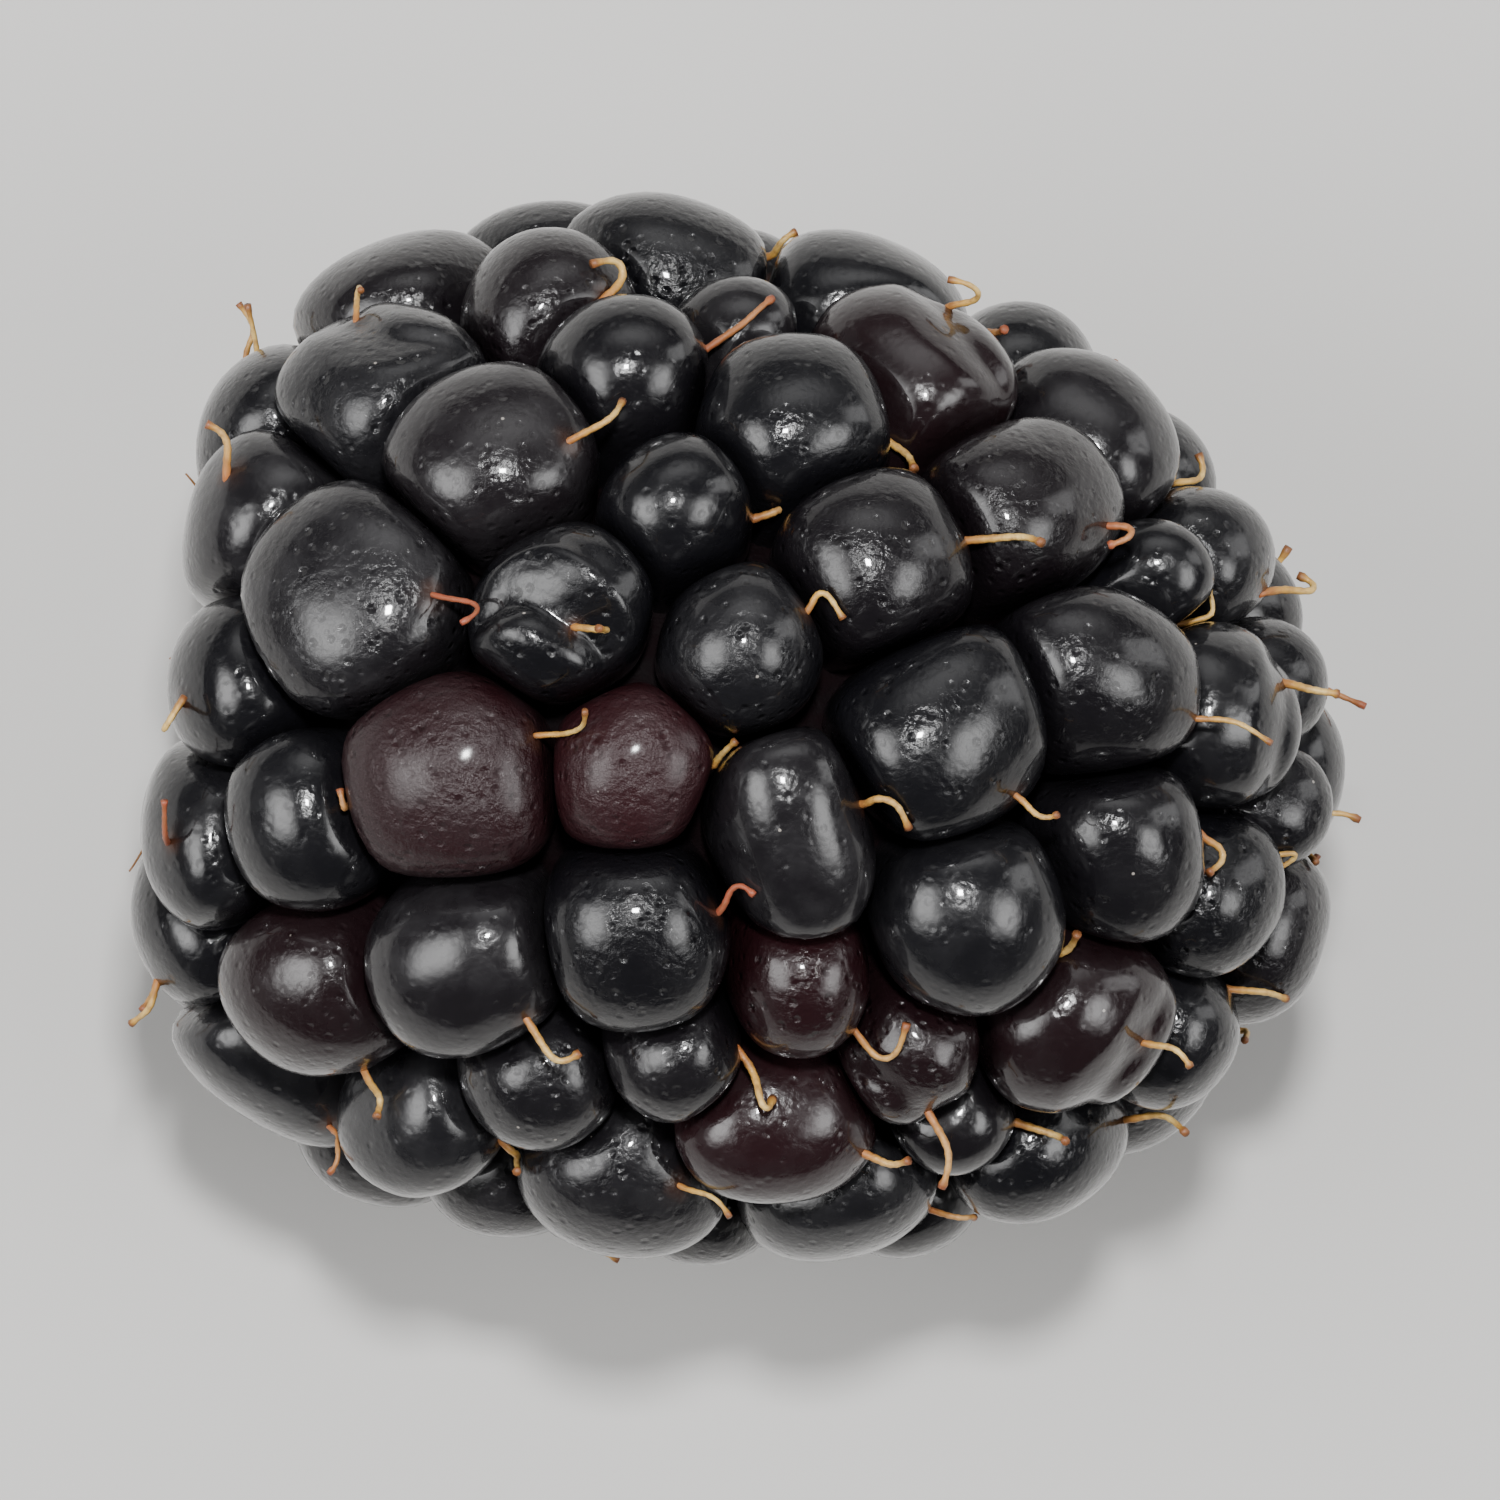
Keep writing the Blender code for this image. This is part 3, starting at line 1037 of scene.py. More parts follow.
@dataclass(frozen=True)
class SkinFinish:
    """The drupelets' taut skin: near-black, with red left in some, a broken gloss, a faint bloom, and pale
    specks that are partly dust and partly painted glints.
    """

    name: str = "glossy_drupelet_skin"
    black: Colour = (0.0036, 0.0035, 0.0045)
    plum: Colour = (0.0080, 0.0030, 0.0038)
    maroon: Colour = (0.0175, 0.0034, 0.0048)
    bloom: Colour = (0.0330, 0.0320, 0.0340)
    stain: Colour = (0.0420, 0.0160, 0.0080)
    # Pale specks: partly dust, partly painted glints that stand in for sparkle in the highlights.
    speck: Colour = (0.2200, 0.2000, 0.1800)
    tones_where: tuple[float, ...] = (0.0, 0.5, 1.0)
    veil: float = 0.36
    least_veil: float = 0.1
    veiled_where: Pair = (0.35, 0.75)
    roughness: Pair = (0.20, 0.34)
    rough_where: Pair = (0.3, 0.7)
    skin_ior: float = 1.34
    coat: float = 0.75
    coat_roughness: float = 0.055
    coat_ior: float = 1.40
    blotch: float = 0.0012
    blotch_depth: float = 0.00007
    grain: float = 0.00030
    grain_detail: float = 4.0
    grain_roughness: float = 0.65
    grain_depth: float = 0.00006
    pore: float = 0.00046
    pore_radius: float = 0.35
    pore_depth: float = 0.00008
    speck_spacing: float = 0.0011
    dust_and_glint_radius: float = 0.05
    dust_and_glint_missing: float = 0.72

    @classmethod
    def dull(cls) -> "SkinFinish":
        """Gives the finish of the redder drupelets, which shine less.

        Returns:
            The finish, rougher, with more grain and with denser pale specks painted as glints.
        """
        return cls(
            name="dull_drupelet_skin",
            roughness=(0.30, 0.42),
            coat=0.40,
            coat_roughness=0.13,
            blotch_depth=0.00010,
            grain=0.00034,
            grain_depth=0.00012,
            pore=0.00050,
            pore_depth=0.00007,
            # Denser pale specks: painted glints for the dull skin's sparkle.
            speck_spacing=0.00055,
        )

    def material(self) -> bpy.types.Material:
        """Builds the skin's nodes.

        Returns:
            The material, which reads how red, veiled, pitted and stained each point is.
        """
        nodes = NodeTree(self.name)
        blotches = nodes.noise(self.blotch)
        tones = (self.black, self.plum, self.maroon)
        skin = nodes.ramp(nodes.attribute("redness"), list(zip(self.tones_where, tones)))
        patches = nodes.between(blotches, *self.veiled_where, self.least_veil, self.veil)
        veiled = nodes.mixed(nodes.times(nodes.attribute("bloom"), patches), skin, self.bloom)
        stained = nodes.mixed(nodes.attribute("stain"), veiled, self.stain)
        # Pale specks mixed into the base colour: partly dust, partly painted glints.
        specks = nodes.specks(self.speck_spacing, self.dust_and_glint_radius, self.dust_and_glint_missing)
        nodes.drive("Base Color", nodes.mixed(specks, stained, self.speck))
        nodes.drive("Roughness", nodes.between(blotches, *self.rough_where, *self.roughness))
        nodes.set(IOR=self.skin_ior, Coat_Weight=self.coat)
        nodes.set(Coat_Roughness=self.coat_roughness, Coat_IOR=self.coat_ior)
        pitted = nodes.attribute("pitted")
        grain = nodes.times(nodes.noise(self.grain, self.grain_detail, self.grain_roughness), pitted)
        pores = nodes.times(nodes.between(nodes.cells(self.pore), 0.0, self.pore_radius, 0.0, 1.0), pitted)
        nodes.bump([(blotches, self.blotch_depth), (grain, self.grain_depth), (pores, self.pore_depth)])
        return nodes.material


@dataclass(frozen=True)
class FleshPaintedShadeFinish:
    """The flesh deep between the drupelets, coloured near-black as painted shade for the dark gaps."""

    # Near-black painted shade: the gaps read dark from shade, not from the flesh's own colour.
    colour: Colour = (0.0020, 0.0008, 0.0012)
    lighter: Colour = (0.0050, 0.0018, 0.0025)
    lighter_where: Pair = (0.3, 0.8)
    roughness: Pair = (0.6, 0.8)
    shine: float = 0.05
    fold: float = 0.0006
    fold_depth: float = 0.0001

    def material(self) -> bpy.types.Material:
        """Builds the flesh's nodes: near-black painted shade with a faint lighter mottle and almost no
        shine.

        Returns:
            The material.
        """
        nodes = NodeTree("flesh_painted_shade")
        folds = nodes.noise(self.fold)
        tones = list(zip(self.lighter_where, (self.colour, self.lighter)))
        nodes.drive("Base Color", nodes.ramp(folds, tones))
        nodes.drive("Roughness", nodes.between(folds, *NOISE_SPAN, *self.roughness))
        nodes.set(Specular_IOR_Level=self.shine)
        nodes.bump([(folds, self.fold_depth)])
        return nodes.material


@dataclass(frozen=True)
class StyleFinish:
    """The dried styles: reddish at the root, golden tan, with a dark brown stigma."""

    root: Colour = (0.30, 0.088, 0.025)
    middle: Colour = (0.46, 0.255, 0.050)
    pale: Colour = (0.58, 0.40, 0.13)
    end: Colour = (0.17, 0.062, 0.018)
    red: Colour = (0.27, 0.058, 0.028)
    tones_along: tuple[float, ...] = (0.0, 0.28, 0.7, 0.88, 0.97)
    streak: float = 0.00022
    streak_detail: float = 4.0
    streak_depth: float = 0.00003
    worn_where: Pair = (0.38, 0.72)
    most_worn: float = 0.6
    roughness: Pair = (0.38, 0.6)

    def material(self) -> bpy.types.Material:
        """Builds the styles' nodes.

        Returns:
            The material, which reads how far along its style each point is.
        """
        nodes = NodeTree("style_finish")
        along = nodes.attribute("along")
        tones = (self.root, self.middle, self.pale, self.middle, self.end)
        streaks = nodes.noise(self.streak, self.streak_detail)
        golden = nodes.ramp(along, list(zip(self.tones_along, tones)))
        tint = nodes.mixed(nodes.attribute("redness"), golden, self.red)
        worn = nodes.between(streaks, *self.worn_where, 0.0, self.most_worn)
        nodes.drive("Base Color", nodes.mixed(worn, tint, self.end))
        nodes.drive("Roughness", nodes.between(streaks, *NOISE_SPAN, *self.roughness))
        nodes.bump([(streaks, self.streak_depth)])
        return nodes.material


@dataclass(frozen=True)
class PithFinish:
    """The receptacle's torn pith: yellow-green and fibrous, brown in its pits and scar."""

    cream: Colour = (0.62, 0.48, 0.20)
    yellow: Colour = (0.46, 0.34, 0.075)
    green: Colour = (0.24, 0.21, 0.035)
    brown: Colour = (0.13, 0.055, 0.012)
    dark: Colour = (0.075, 0.028, 0.007)
    tones_where: tuple[float, ...] = (0.34, 0.50, 0.66)
    fibre: float = 0.0008
    fibre_detail: float = 6.0
    fibre_roughness: float = 0.72
    fibre_depth: float = 0.00020
    speck: float = 0.00026
    speck_detail: float = 2.0
    speck_depth: float = 0.00010
    speckled_where: Pair = (0.54, 0.68)
    most_speckled: float = 0.75
    drift: float = 0.0032
    green_where: Pair = (0.3, 0.65)
    least_green: float = 0.35
    roughness: Pair = (0.5, 0.85)
    glow: float = 0.1
    glow_depths: tuple[float, float, float] = (0.0006, 0.0004, 0.00015)

    def material(self) -> bpy.types.Material:
        """Builds the pith's nodes.

        Returns:
            The material, which reads where the rim and the scar are.
        """
        nodes = NodeTree("pith_finish")
        fibres = nodes.noise(self.fibre, self.fibre_detail, self.fibre_roughness)
        specks = nodes.noise(self.speck, self.speck_detail)
        drift = nodes.noise(self.drift)
        tones = (self.green, self.yellow, self.cream)
        ground = nodes.ramp(fibres, list(zip(self.tones_where, tones)))
        greened = nodes.between(drift, *self.green_where, self.least_green, 1.0)
        edged = nodes.mixed(nodes.times(nodes.attribute("rim"), greened), ground, self.green)
        browned = nodes.between(specks, *self.speckled_where, 0.0, self.most_speckled)
        speckled = nodes.mixed(browned, edged, self.brown)
        nodes.drive("Base Color", nodes.mixed(nodes.attribute("scar"), speckled, self.dark))
        nodes.drive("Roughness", nodes.between(fibres, *NOISE_SPAN, *self.roughness))
        nodes.set(Subsurface_Weight=self.glow, Subsurface_Radius=self.glow_depths, Subsurface_Scale=1.0)
        nodes.bump([(fibres, self.fibre_depth), (specks, self.speck_depth)])
        return nodes.material


@dataclass(frozen=True)
class FibreFinish:
    """The torn fibres, straw-coloured with brown ends."""

    straw: Colour = (0.55, 0.37, 0.13)
    brown: Colour = (0.18, 0.075, 0.02)
    brown_along: Pair = (0.3, 0.95)
    roughness: float = 0.6

    def material(self) -> bpy.types.Material:
        """Builds the fibres' nodes.

        Returns:
            The material, which reads how far along its fibre each point is.
        """
        nodes = NodeTree("torn_fibre_finish")
        worn = nodes.ramp(nodes.attribute("along"), list(zip(self.brown_along, (self.straw, self.brown))))
        nodes.drive("Base Color", nodes.mixed(nodes.attribute("redness"), worn, self.brown))
        nodes.set(Roughness=self.roughness)
        return nodes.material


@dataclass(frozen=True)
class FloorFinish:
    """The pale matt floor."""

    colour: Colour = (0.44, 0.432, 0.42)
    darkest: float = 0.97
    drift: float = 0.05
    drift_detail: float = 2.0
    darker_where: Pair = (0.3, 0.7)
    roughness: float = 0.6

    def material(self) -> bpy.types.Material:
        """Builds the floor's nodes.

        Returns:
            The material.
        """
        nodes = NodeTree("pale_floor")
        drift = nodes.noise(self.drift, self.drift_detail)
        darker = tuple(self.darkest * channel for channel in self.colour)
        nodes.drive("Base Color", nodes.ramp(drift, list(zip(self.darker_where, (darker, self.colour)))))
        nodes.set(Roughness=self.roughness)
        return nodes.material


@dataclass
class DrupeletCluster:
    """The drupelets' skins and the flesh that shows deep between them."""

    crowd: Crowd
    marks: list[Mark]
    picture_right: np.ndarray
    picture_up: np.ndarray
    subdivisions: int = 4
    crowding_of_points: float = 1.25
    fine_subdivisions: int = 6
    deep_dent: float = 0.6
    flesh_share: float = 0.88
    flesh_face_x: float = -0.0099
    flesh_segments: int = 72
    flesh_rings: int = 44
    style_in_fold: float = 0.4
    redness_draw: Pair = (0.02, 0.08)
    most_redness: float = 0.30
    dull_from: float = 0.7
    bloom_of_dull: float = 0.30
    stain_width: float = 0.085
    smoothest: float = 0.22
    bloom_rarity: float = 2.0
    pitted_rarity: float = 2.0
    seed: int = 3

    def redness(self) -> np.ndarray:
        """Draws how red each drupelet is, and dents and reddens the marked ones.

        Returns:
            One number for each drupelet, from 0 for black to 1 for maroon.
        """
        rng = np.random.default_rng(self.seed)
        drawn = np.clip(rng.normal(*self.redness_draw, len(self.crowd.drupelets)), 0, self.most_redness)
        for mark in self.marks:
            index = self.crowd.seen_at(mark, self.picture_right, self.picture_up)
            drawn[index] = mark.ripeness.value
            if mark.dent:
                self.press_in(index, mark)
        return drawn

    def press_in(self, index: int, mark: Mark) -> None:
        """Dents a drupelet on the side that its mark names, with its style in the fold.

        Args:
            index: Which drupelet.
            mark: The mark that asks for the dent.
        """
        drupelet = self.crowd.drupelets[index]
        turn = math.radians(mark.dent_turn_deg)
        side = math.cos(turn) * self.picture_right + math.sin(turn) * self.picture_up
        side = unit(side - (side @ drupelet.outward) * drupelet.outward)
        dent = Dent(drupelet.outward, side, np.cross(drupelet.outward, side), strength=mark.dent)
        self.crowd.dents[index] = dent
        self.crowd.roots[index] = dent.fold_direction(self.style_in_fold)

    def fineness(self, index: int) -> int:
        """Gives how finely a drupelet is meshed: finer where it is dented, and finest in a deep dent.

        Args:
            index: Which drupelet.

        Returns:
            How often its ball is subdivided.
        """
        dent = self.crowd.dents.get(index)
        if dent is None:
            return self.subdivisions
        return self.fine_subdivisions - int(dent.strength < self.deep_dent)

    def bead(self, pattern: bpy.types.Mesh, ball: np.ndarray, index: int) -> bpy.types.Object:
        """Shapes one drupelet from a copy of the ball.

        Args:
            pattern: The ball's mesh.
            ball: The ball's points, with more of them on the outward side.
            index: Which drupelet.

        Returns:
            The drupelet's object.
        """
        mesh = pattern.copy()
        directions = ball @ self.crowd.drupelets[index].frame.T
        reach = self.crowd.reach(index, directions)
        move_to(mesh, self.crowd.centres[index] + directions * reach[:, None])
        return linked(f"drupelet_{index:03d}", mesh)

    def outward_ball(self, points: np.ndarray) -> np.ndarray:
        """Slides the ball's points towards its outward pole, so that the seen side is meshed finer.

        Args:
            points: The ball's points, with the pole at +Z.

        Returns:
            The slid points, with the pole along the first axis.
        """
        polar = np.arccos(np.clip(points[:, 2], -1, 1))
        slid = math.pi * (polar / math.pi) ** self.crowding_of_points
        ring = np.hypot(points[:, 0], points[:, 1])
        ring[ring == 0] = 1
        factor = np.sin(slid) / ring
        return np.stack((np.cos(slid), points[:, 0] * factor, points[:, 1] * factor), axis=1)

    def flesh(self) -> bpy.types.Object:
        """Models the flesh just under the bed as one closed body.

        Returns:
            The flesh's object.
        """
        deselect()
        bpy.ops.mesh.primitive_uv_sphere_add(
            segments=self.flesh_segments, ring_count=self.flesh_rings, radius=1, location=(0, 0, 0)
        )
        flesh = bpy.context.object
        points = self.crowd.layout.bed.onto(places(flesh.data)[:, [2, 0, 1]]) * self.flesh_share
        points[:, 0] = np.maximum(points[:, 0], self.flesh_face_x)
        move_to(flesh.data, points @ self.crowd.turn.T + np.array(self.crowd.rest.translation))
        return flesh

    def build(self) -> bpy.types.Object:
        """Models the cluster and dresses it.

        Returns:
            The finished cluster.
        """
        redness = self.redness()
        levels = range(self.subdivisions, self.fine_subdivisions + 1)
        patterns = {level: Ball(level).add("bead") for level in levels}
        rng = np.random.default_rng(self.seed + 1)
        blooms = rng.uniform(0.0, 1.0, len(redness)) ** self.bloom_rarity
        drawn = rng.uniform(0.0, 1.0, len(redness)) ** self.pitted_rarity
        pitted = self.smoothest + (1 - self.smoothest) * drawn
        finishes = [SkinFinish().material(), SkinFinish.dull().material()]
        beads = []
        for index, red in enumerate(redness):
            pattern = patterns[self.fineness(index)].data
            directions = self.outward_ball(places(pattern))
            bead = self.bead(pattern, directions, index)
            outward = directions @ self.crowd.drupelets[index].frame.T
            dull = int(red > self.dull_from)
            bloom = self.bloom_of_dull if dull else (1 - red) * blooms[index]
            same = {"redness": red, "bloom": bloom, "pitted": max(pitted[index], dull)}
            for name, value in same.items():
                set_attribute(bead.data, name, np.full(len(directions), value))
            set_attribute(bead.data, "stain", bell(self.crowd.off_root(index, outward), self.stain_width))
            for finish in finishes:
                bead.data.materials.append(finish)
            bead.data.polygons.foreach_set("material_index", [dull] * len(bead.data.polygons))
            beads.append(bead)
        for pattern in patterns.values():
            bpy.data.objects.remove(pattern)
        return joined(beads, "drupelet_cluster")

    def build_flesh(self) -> bpy.types.Object:
        """Models the flesh between the drupelets and dresses it in near-black painted shade.

        Returns:
            The finished flesh.
        """
        flesh = joined([self.flesh()], "flesh_between_drupelets")
        flesh.data.materials.append(FleshPaintedShadeFinish().material())
        return flesh


@dataclass
class Strand:
    """One thin strand: its points, its radius at each, and how red it is."""

    points: list[np.ndarray]
    radii: list[float]
    redness: float


def tubes(name: str, strands: list[Strand], resolution: int = 2) -> bpy.types.Object:
    """Models strands as round closed tubes in one piece.

    Args:
        name: The piece's name.
        strands: The strands.
        resolution: How finely each tube is rounded.

    Returns:
        The piece, which stores how far along its strand each point is, and the strand's redness.
    """
    curve = bpy.data.curves.new(name, "CURVE")
    curve.dimensions = "3D"
    curve.bevel_depth = 1.0
    curve.bevel_resolution = resolution
    curve.use_fill_caps = True
    tree = KDTree(sum(len(strand.points) for strand in strands))
    facts = []
    for strand in strands:
        spline = curve.splines.new("POLY")
        spline.points.add(len(strand.points) - 1)
        for i, (point, radius) in enumerate(zip(strand.points, strand.radii)):
            spline.points[i].co = (*point, 1)
            spline.points[i].radius = radius
            tree.insert(Vector(point), len(facts))
            facts.append((i / (len(strand.points) - 1), strand.redness))
    tree.balance()
    piece = closed_mesh(name, curve)
    found = np.array([facts[tree.find(vertex.co)[1]] for vertex in piece.data.vertices])
    set_attribute(piece.data, "along", found[:, 0])
    set_attribute(piece.data, "redness", found[:, 1])
    return piece


def closed_mesh(name: str, curve: bpy.types.Curve) -> bpy.types.Object:
    """Turns a curve with filled caps into a closed, smooth mesh.

    Args:
        name: The piece's name.
        curve: The curve, already rounded.

    Returns:
        The piece.
    """
    deselect()
    piece = linked(name, curve)
    piece.select_set(True)
    bpy.context.view_layer.objects.active = piece
    bpy.ops.object.convert(target="MESH")
    piece = bpy.context.object
    bpy.ops.object.mode_set(mode="EDIT")
    bpy.ops.mesh.select_all(action="SELECT")
    bpy.ops.mesh.remove_doubles(threshold=WELD)
    bpy.ops.mesh.normals_make_consistent(inside=False)
    bpy.ops.object.mode_set(mode="OBJECT")
    bpy.ops.object.shade_smooth()
    return piece


@dataclass
class Styles:
    """The dried styles: a hooked bristle on nearly every drupelet, rooted on its shoulder."""

    crowd: Crowd
    radius: float = 0.000100
    stigma_radius: float = 0.000165
    girth_draw: Pair = (0.75, 1.12)
    unevenness: float = 0.10
    length_draw: Pair = (0.0013, 0.0027)
    bend_draw_deg: Pair = (30.0, 165.0)
    axis_pull: float = 0.45
    wander: float = 0.75
    hinge_turn: float = 1.5
    hook_at: Pair = (0.4, 0.75)
    hook_over: Pair = (0.07, 0.30)
    back_share: Pair = (0.0, 0.45)
    back_at: Pair = (0.05, 0.3)
    back_over: Pair = (0.08, 0.2)
    knob_at: float = 0.97
    knob_over: float = 0.045
    root_girth: float = 1.15
    taper: float = 0.35
    beat_pace: float = 2.4
    red_rarity: int = 4
    easings: int = 3
    steps: int = 16
    root_depth: float = 0.0004
    clearance: float = 0.00013
    lost_share: float = 0.06
    seed: int = 21

    def path(self, index: int, rng: random.Random) -> list[np.ndarray]:
        """Grows one style from its drupelet's shoulder, clear of the other drupelets and of the ground.

        Args:
            index: Which drupelet it belongs to.
            rng: The random draws.

        Returns:
            The points along it, root first.
        """
        drupelet = self.crowd.drupelets[index]
        root_direction = self.crowd.roots[index]
        root = drupelet.centre + root_direction * self.crowd.reach(index, root_direction[None, :])[0]
        heading = self.axis_pull * self.crowd.axis + root_direction
        heading = unit(heading + rng.gauss(0, self.wander) * drupelet.sideways)
        across = unit(np.cross(heading, drupelet.outward))
        hinge = turned(across, heading, rng.uniform(-self.hinge_turn, self.hinge_turn))
        bends = self.bends(rng)
        step = rng.uniform(*self.length_draw) / self.steps
        points = [root - heading * self.root_depth, root]
        for bend in bends:
            heading = turned(heading, hinge, bend)
            point = self.crowd.pushed_clear(points[-1] + heading * step, self.clearance)
            point[2] = max(point[2], self.clearance)
            points.append(point)
        return self.eased(points)

    def bends(self, rng: random.Random) -> list[float]:
        """Draws how much a style bends at each step: one main hook or kink and a smaller one back.

        Args:
            rng: The random draws.

        Returns:
            The angle at each step, in radians.
        """
        hook = math.radians(rng.uniform(*self.bend_draw_deg)) * rng.choice((-1, 1))
        back = -hook * rng.uniform(*self.back_share)
        hook_at, back_at = rng.uniform(*self.hook_at), rng.uniform(*self.back_at)
        hook_over, back_over = rng.uniform(*self.hook_over), rng.uniform(*self.back_over)
        places_along = [(i + 0.5) / self.steps for i in range(self.steps)]
        main = [math.exp(-(((place - hook_at) / hook_over) ** 2)) for place in places_along]
        lesser = [math.exp(-(((place - back_at) / back_over) ** 2)) for place in places_along]
        return [hook * a / sum(main) + back * b / sum(lesser) for a, b in zip(main, lesser)]

    def eased(self, points: list[np.ndarray]) -> list[np.ndarray]:
        """Smooths the corners that pushing leaves, with both ends held.

        Args:
            points: The points along the style.

        Returns:
            As many points, with softer corners.
        """
        for _ in range(self.easings):
            middles = [(a + 2 * b + c) / 4 for a, b, c in zip(points, points[1:], points[2:])]
            points = [points[0], *middles, points[-1]]
        return points

    def thickness(self, share: float) -> float:
        """Gives the style's radius at a share of its length, thin before the stigma's knob.

        Args:
            share: How far along the style, from 0 to 1.

        Returns:
            The radius there.
        """
        knob = float(bell(np.array(share - self.knob_at), self.knob_over))
        stalk = self.radius * (self.root_girth - self.taper * share)
        return stalk + (self.stigma_radius - self.radius) * knob

    def build(self) -> bpy.types.Object:
        """Models the styles as round tubes and dresses them.

        Returns:
            The finished styles.
        """
        rng = random.Random(self.seed)
        strands = []
        for index in range(len(self.crowd.drupelets)):
            if rng.random() < self.lost_share:
                continue
            points = self.path(index, rng)
            redness = rng.random() ** self.red_rarity
            girth, beat = rng.uniform(*self.girth_draw), rng.uniform(0, 2 * math.pi)
            radii = []
            for i in range(len(points)):
                swell = 1 + self.unevenness * math.sin(beat + self.beat_pace * i)
                radii.append(girth * swell * self.thickness(i / (len(points) - 1)))
            strands.append(Strand(points, radii, redness))
        piece = tubes("dried_styles", strands)
        piece.data.materials.append(StyleFinish().material())
        return piece


@dataclass
class TornFibres:
    """The few thin fibres that stay on the rim of the pith where the stalk tore away."""

    crowd: Crowd
    plug: "Receptacle"
    count: int = 9
    radius: float = 0.00005
    length_draw: Pair = (0.0012, 0.0034)
    rim_share: Pair = (0.70, 1.05)
    off_gap: float = 0.12
    rise_draw: Pair = (0.3, 1.2)
    steps_in_pith: int = 3
    root_girth: float = 1.25
    taper: float = 0.75
    steps: int = 14
    wander_deg: float = 15.0
    clearance: float = 0.00009
    seed: int = 31

    def strand(self, place: int, rng: random.Random) -> Strand:
        """Draws one fibre from the rim of the pith outward over the collar.

        Args:
            place: Which of the collar's gaps it starts near.
            rng: The random draws.

        Returns:
            The fibre.
        """
        turn = 2 * math.pi * (place + 0.5 + rng.gauss(0, self.off_gap)) / self.crowd.layout.collar_count
        share = rng.uniform(*self.rim_share)
        ring = np.array((0, math.sin(turn), math.cos(turn)))
        foot = ring * share * self.plug.radius
        foot[0] = self.plug.face_x - self.plug.height_at(np.array([share]), np.array([turn]))[0]
        point = np.array(self.crowd.rest @ Vector(foot))
        heading = unit(self.crowd.turn @ (ring + np.array((-rng.uniform(*self.rise_draw), 0, 0))))
        step = rng.uniform(*self.length_draw) / self.steps
        points = [point - heading * self.steps_in_pith * step, point]
        for _ in range(self.steps):
            axis = unit(np.array([rng.gauss(0, 1) for _ in range(3)]))
            heading = turned(heading, axis, math.radians(rng.gauss(0, self.wander_deg)))
            points.append(self.crowd.pushed_clear(points[-1] + heading * step, self.clearance))
        radii = [self.radius * (self.root_girth - self.taper * i / len(points)) for i in range(len(points))]
        return Strand(points, radii, rng.random())

    def build(self) -> bpy.types.Object:
        """Models the fibres and dresses them.

        Returns:
            The finished fibres.
        """
        rng = random.Random(self.seed)
        gaps = rng.sample(range(self.crowd.layout.collar_count), self.count)
        piece = tubes("torn_fibres", [self.strand(gap, rng) for gap in gaps])
        piece.data.materials.append(FibreFinish().material())
        return piece


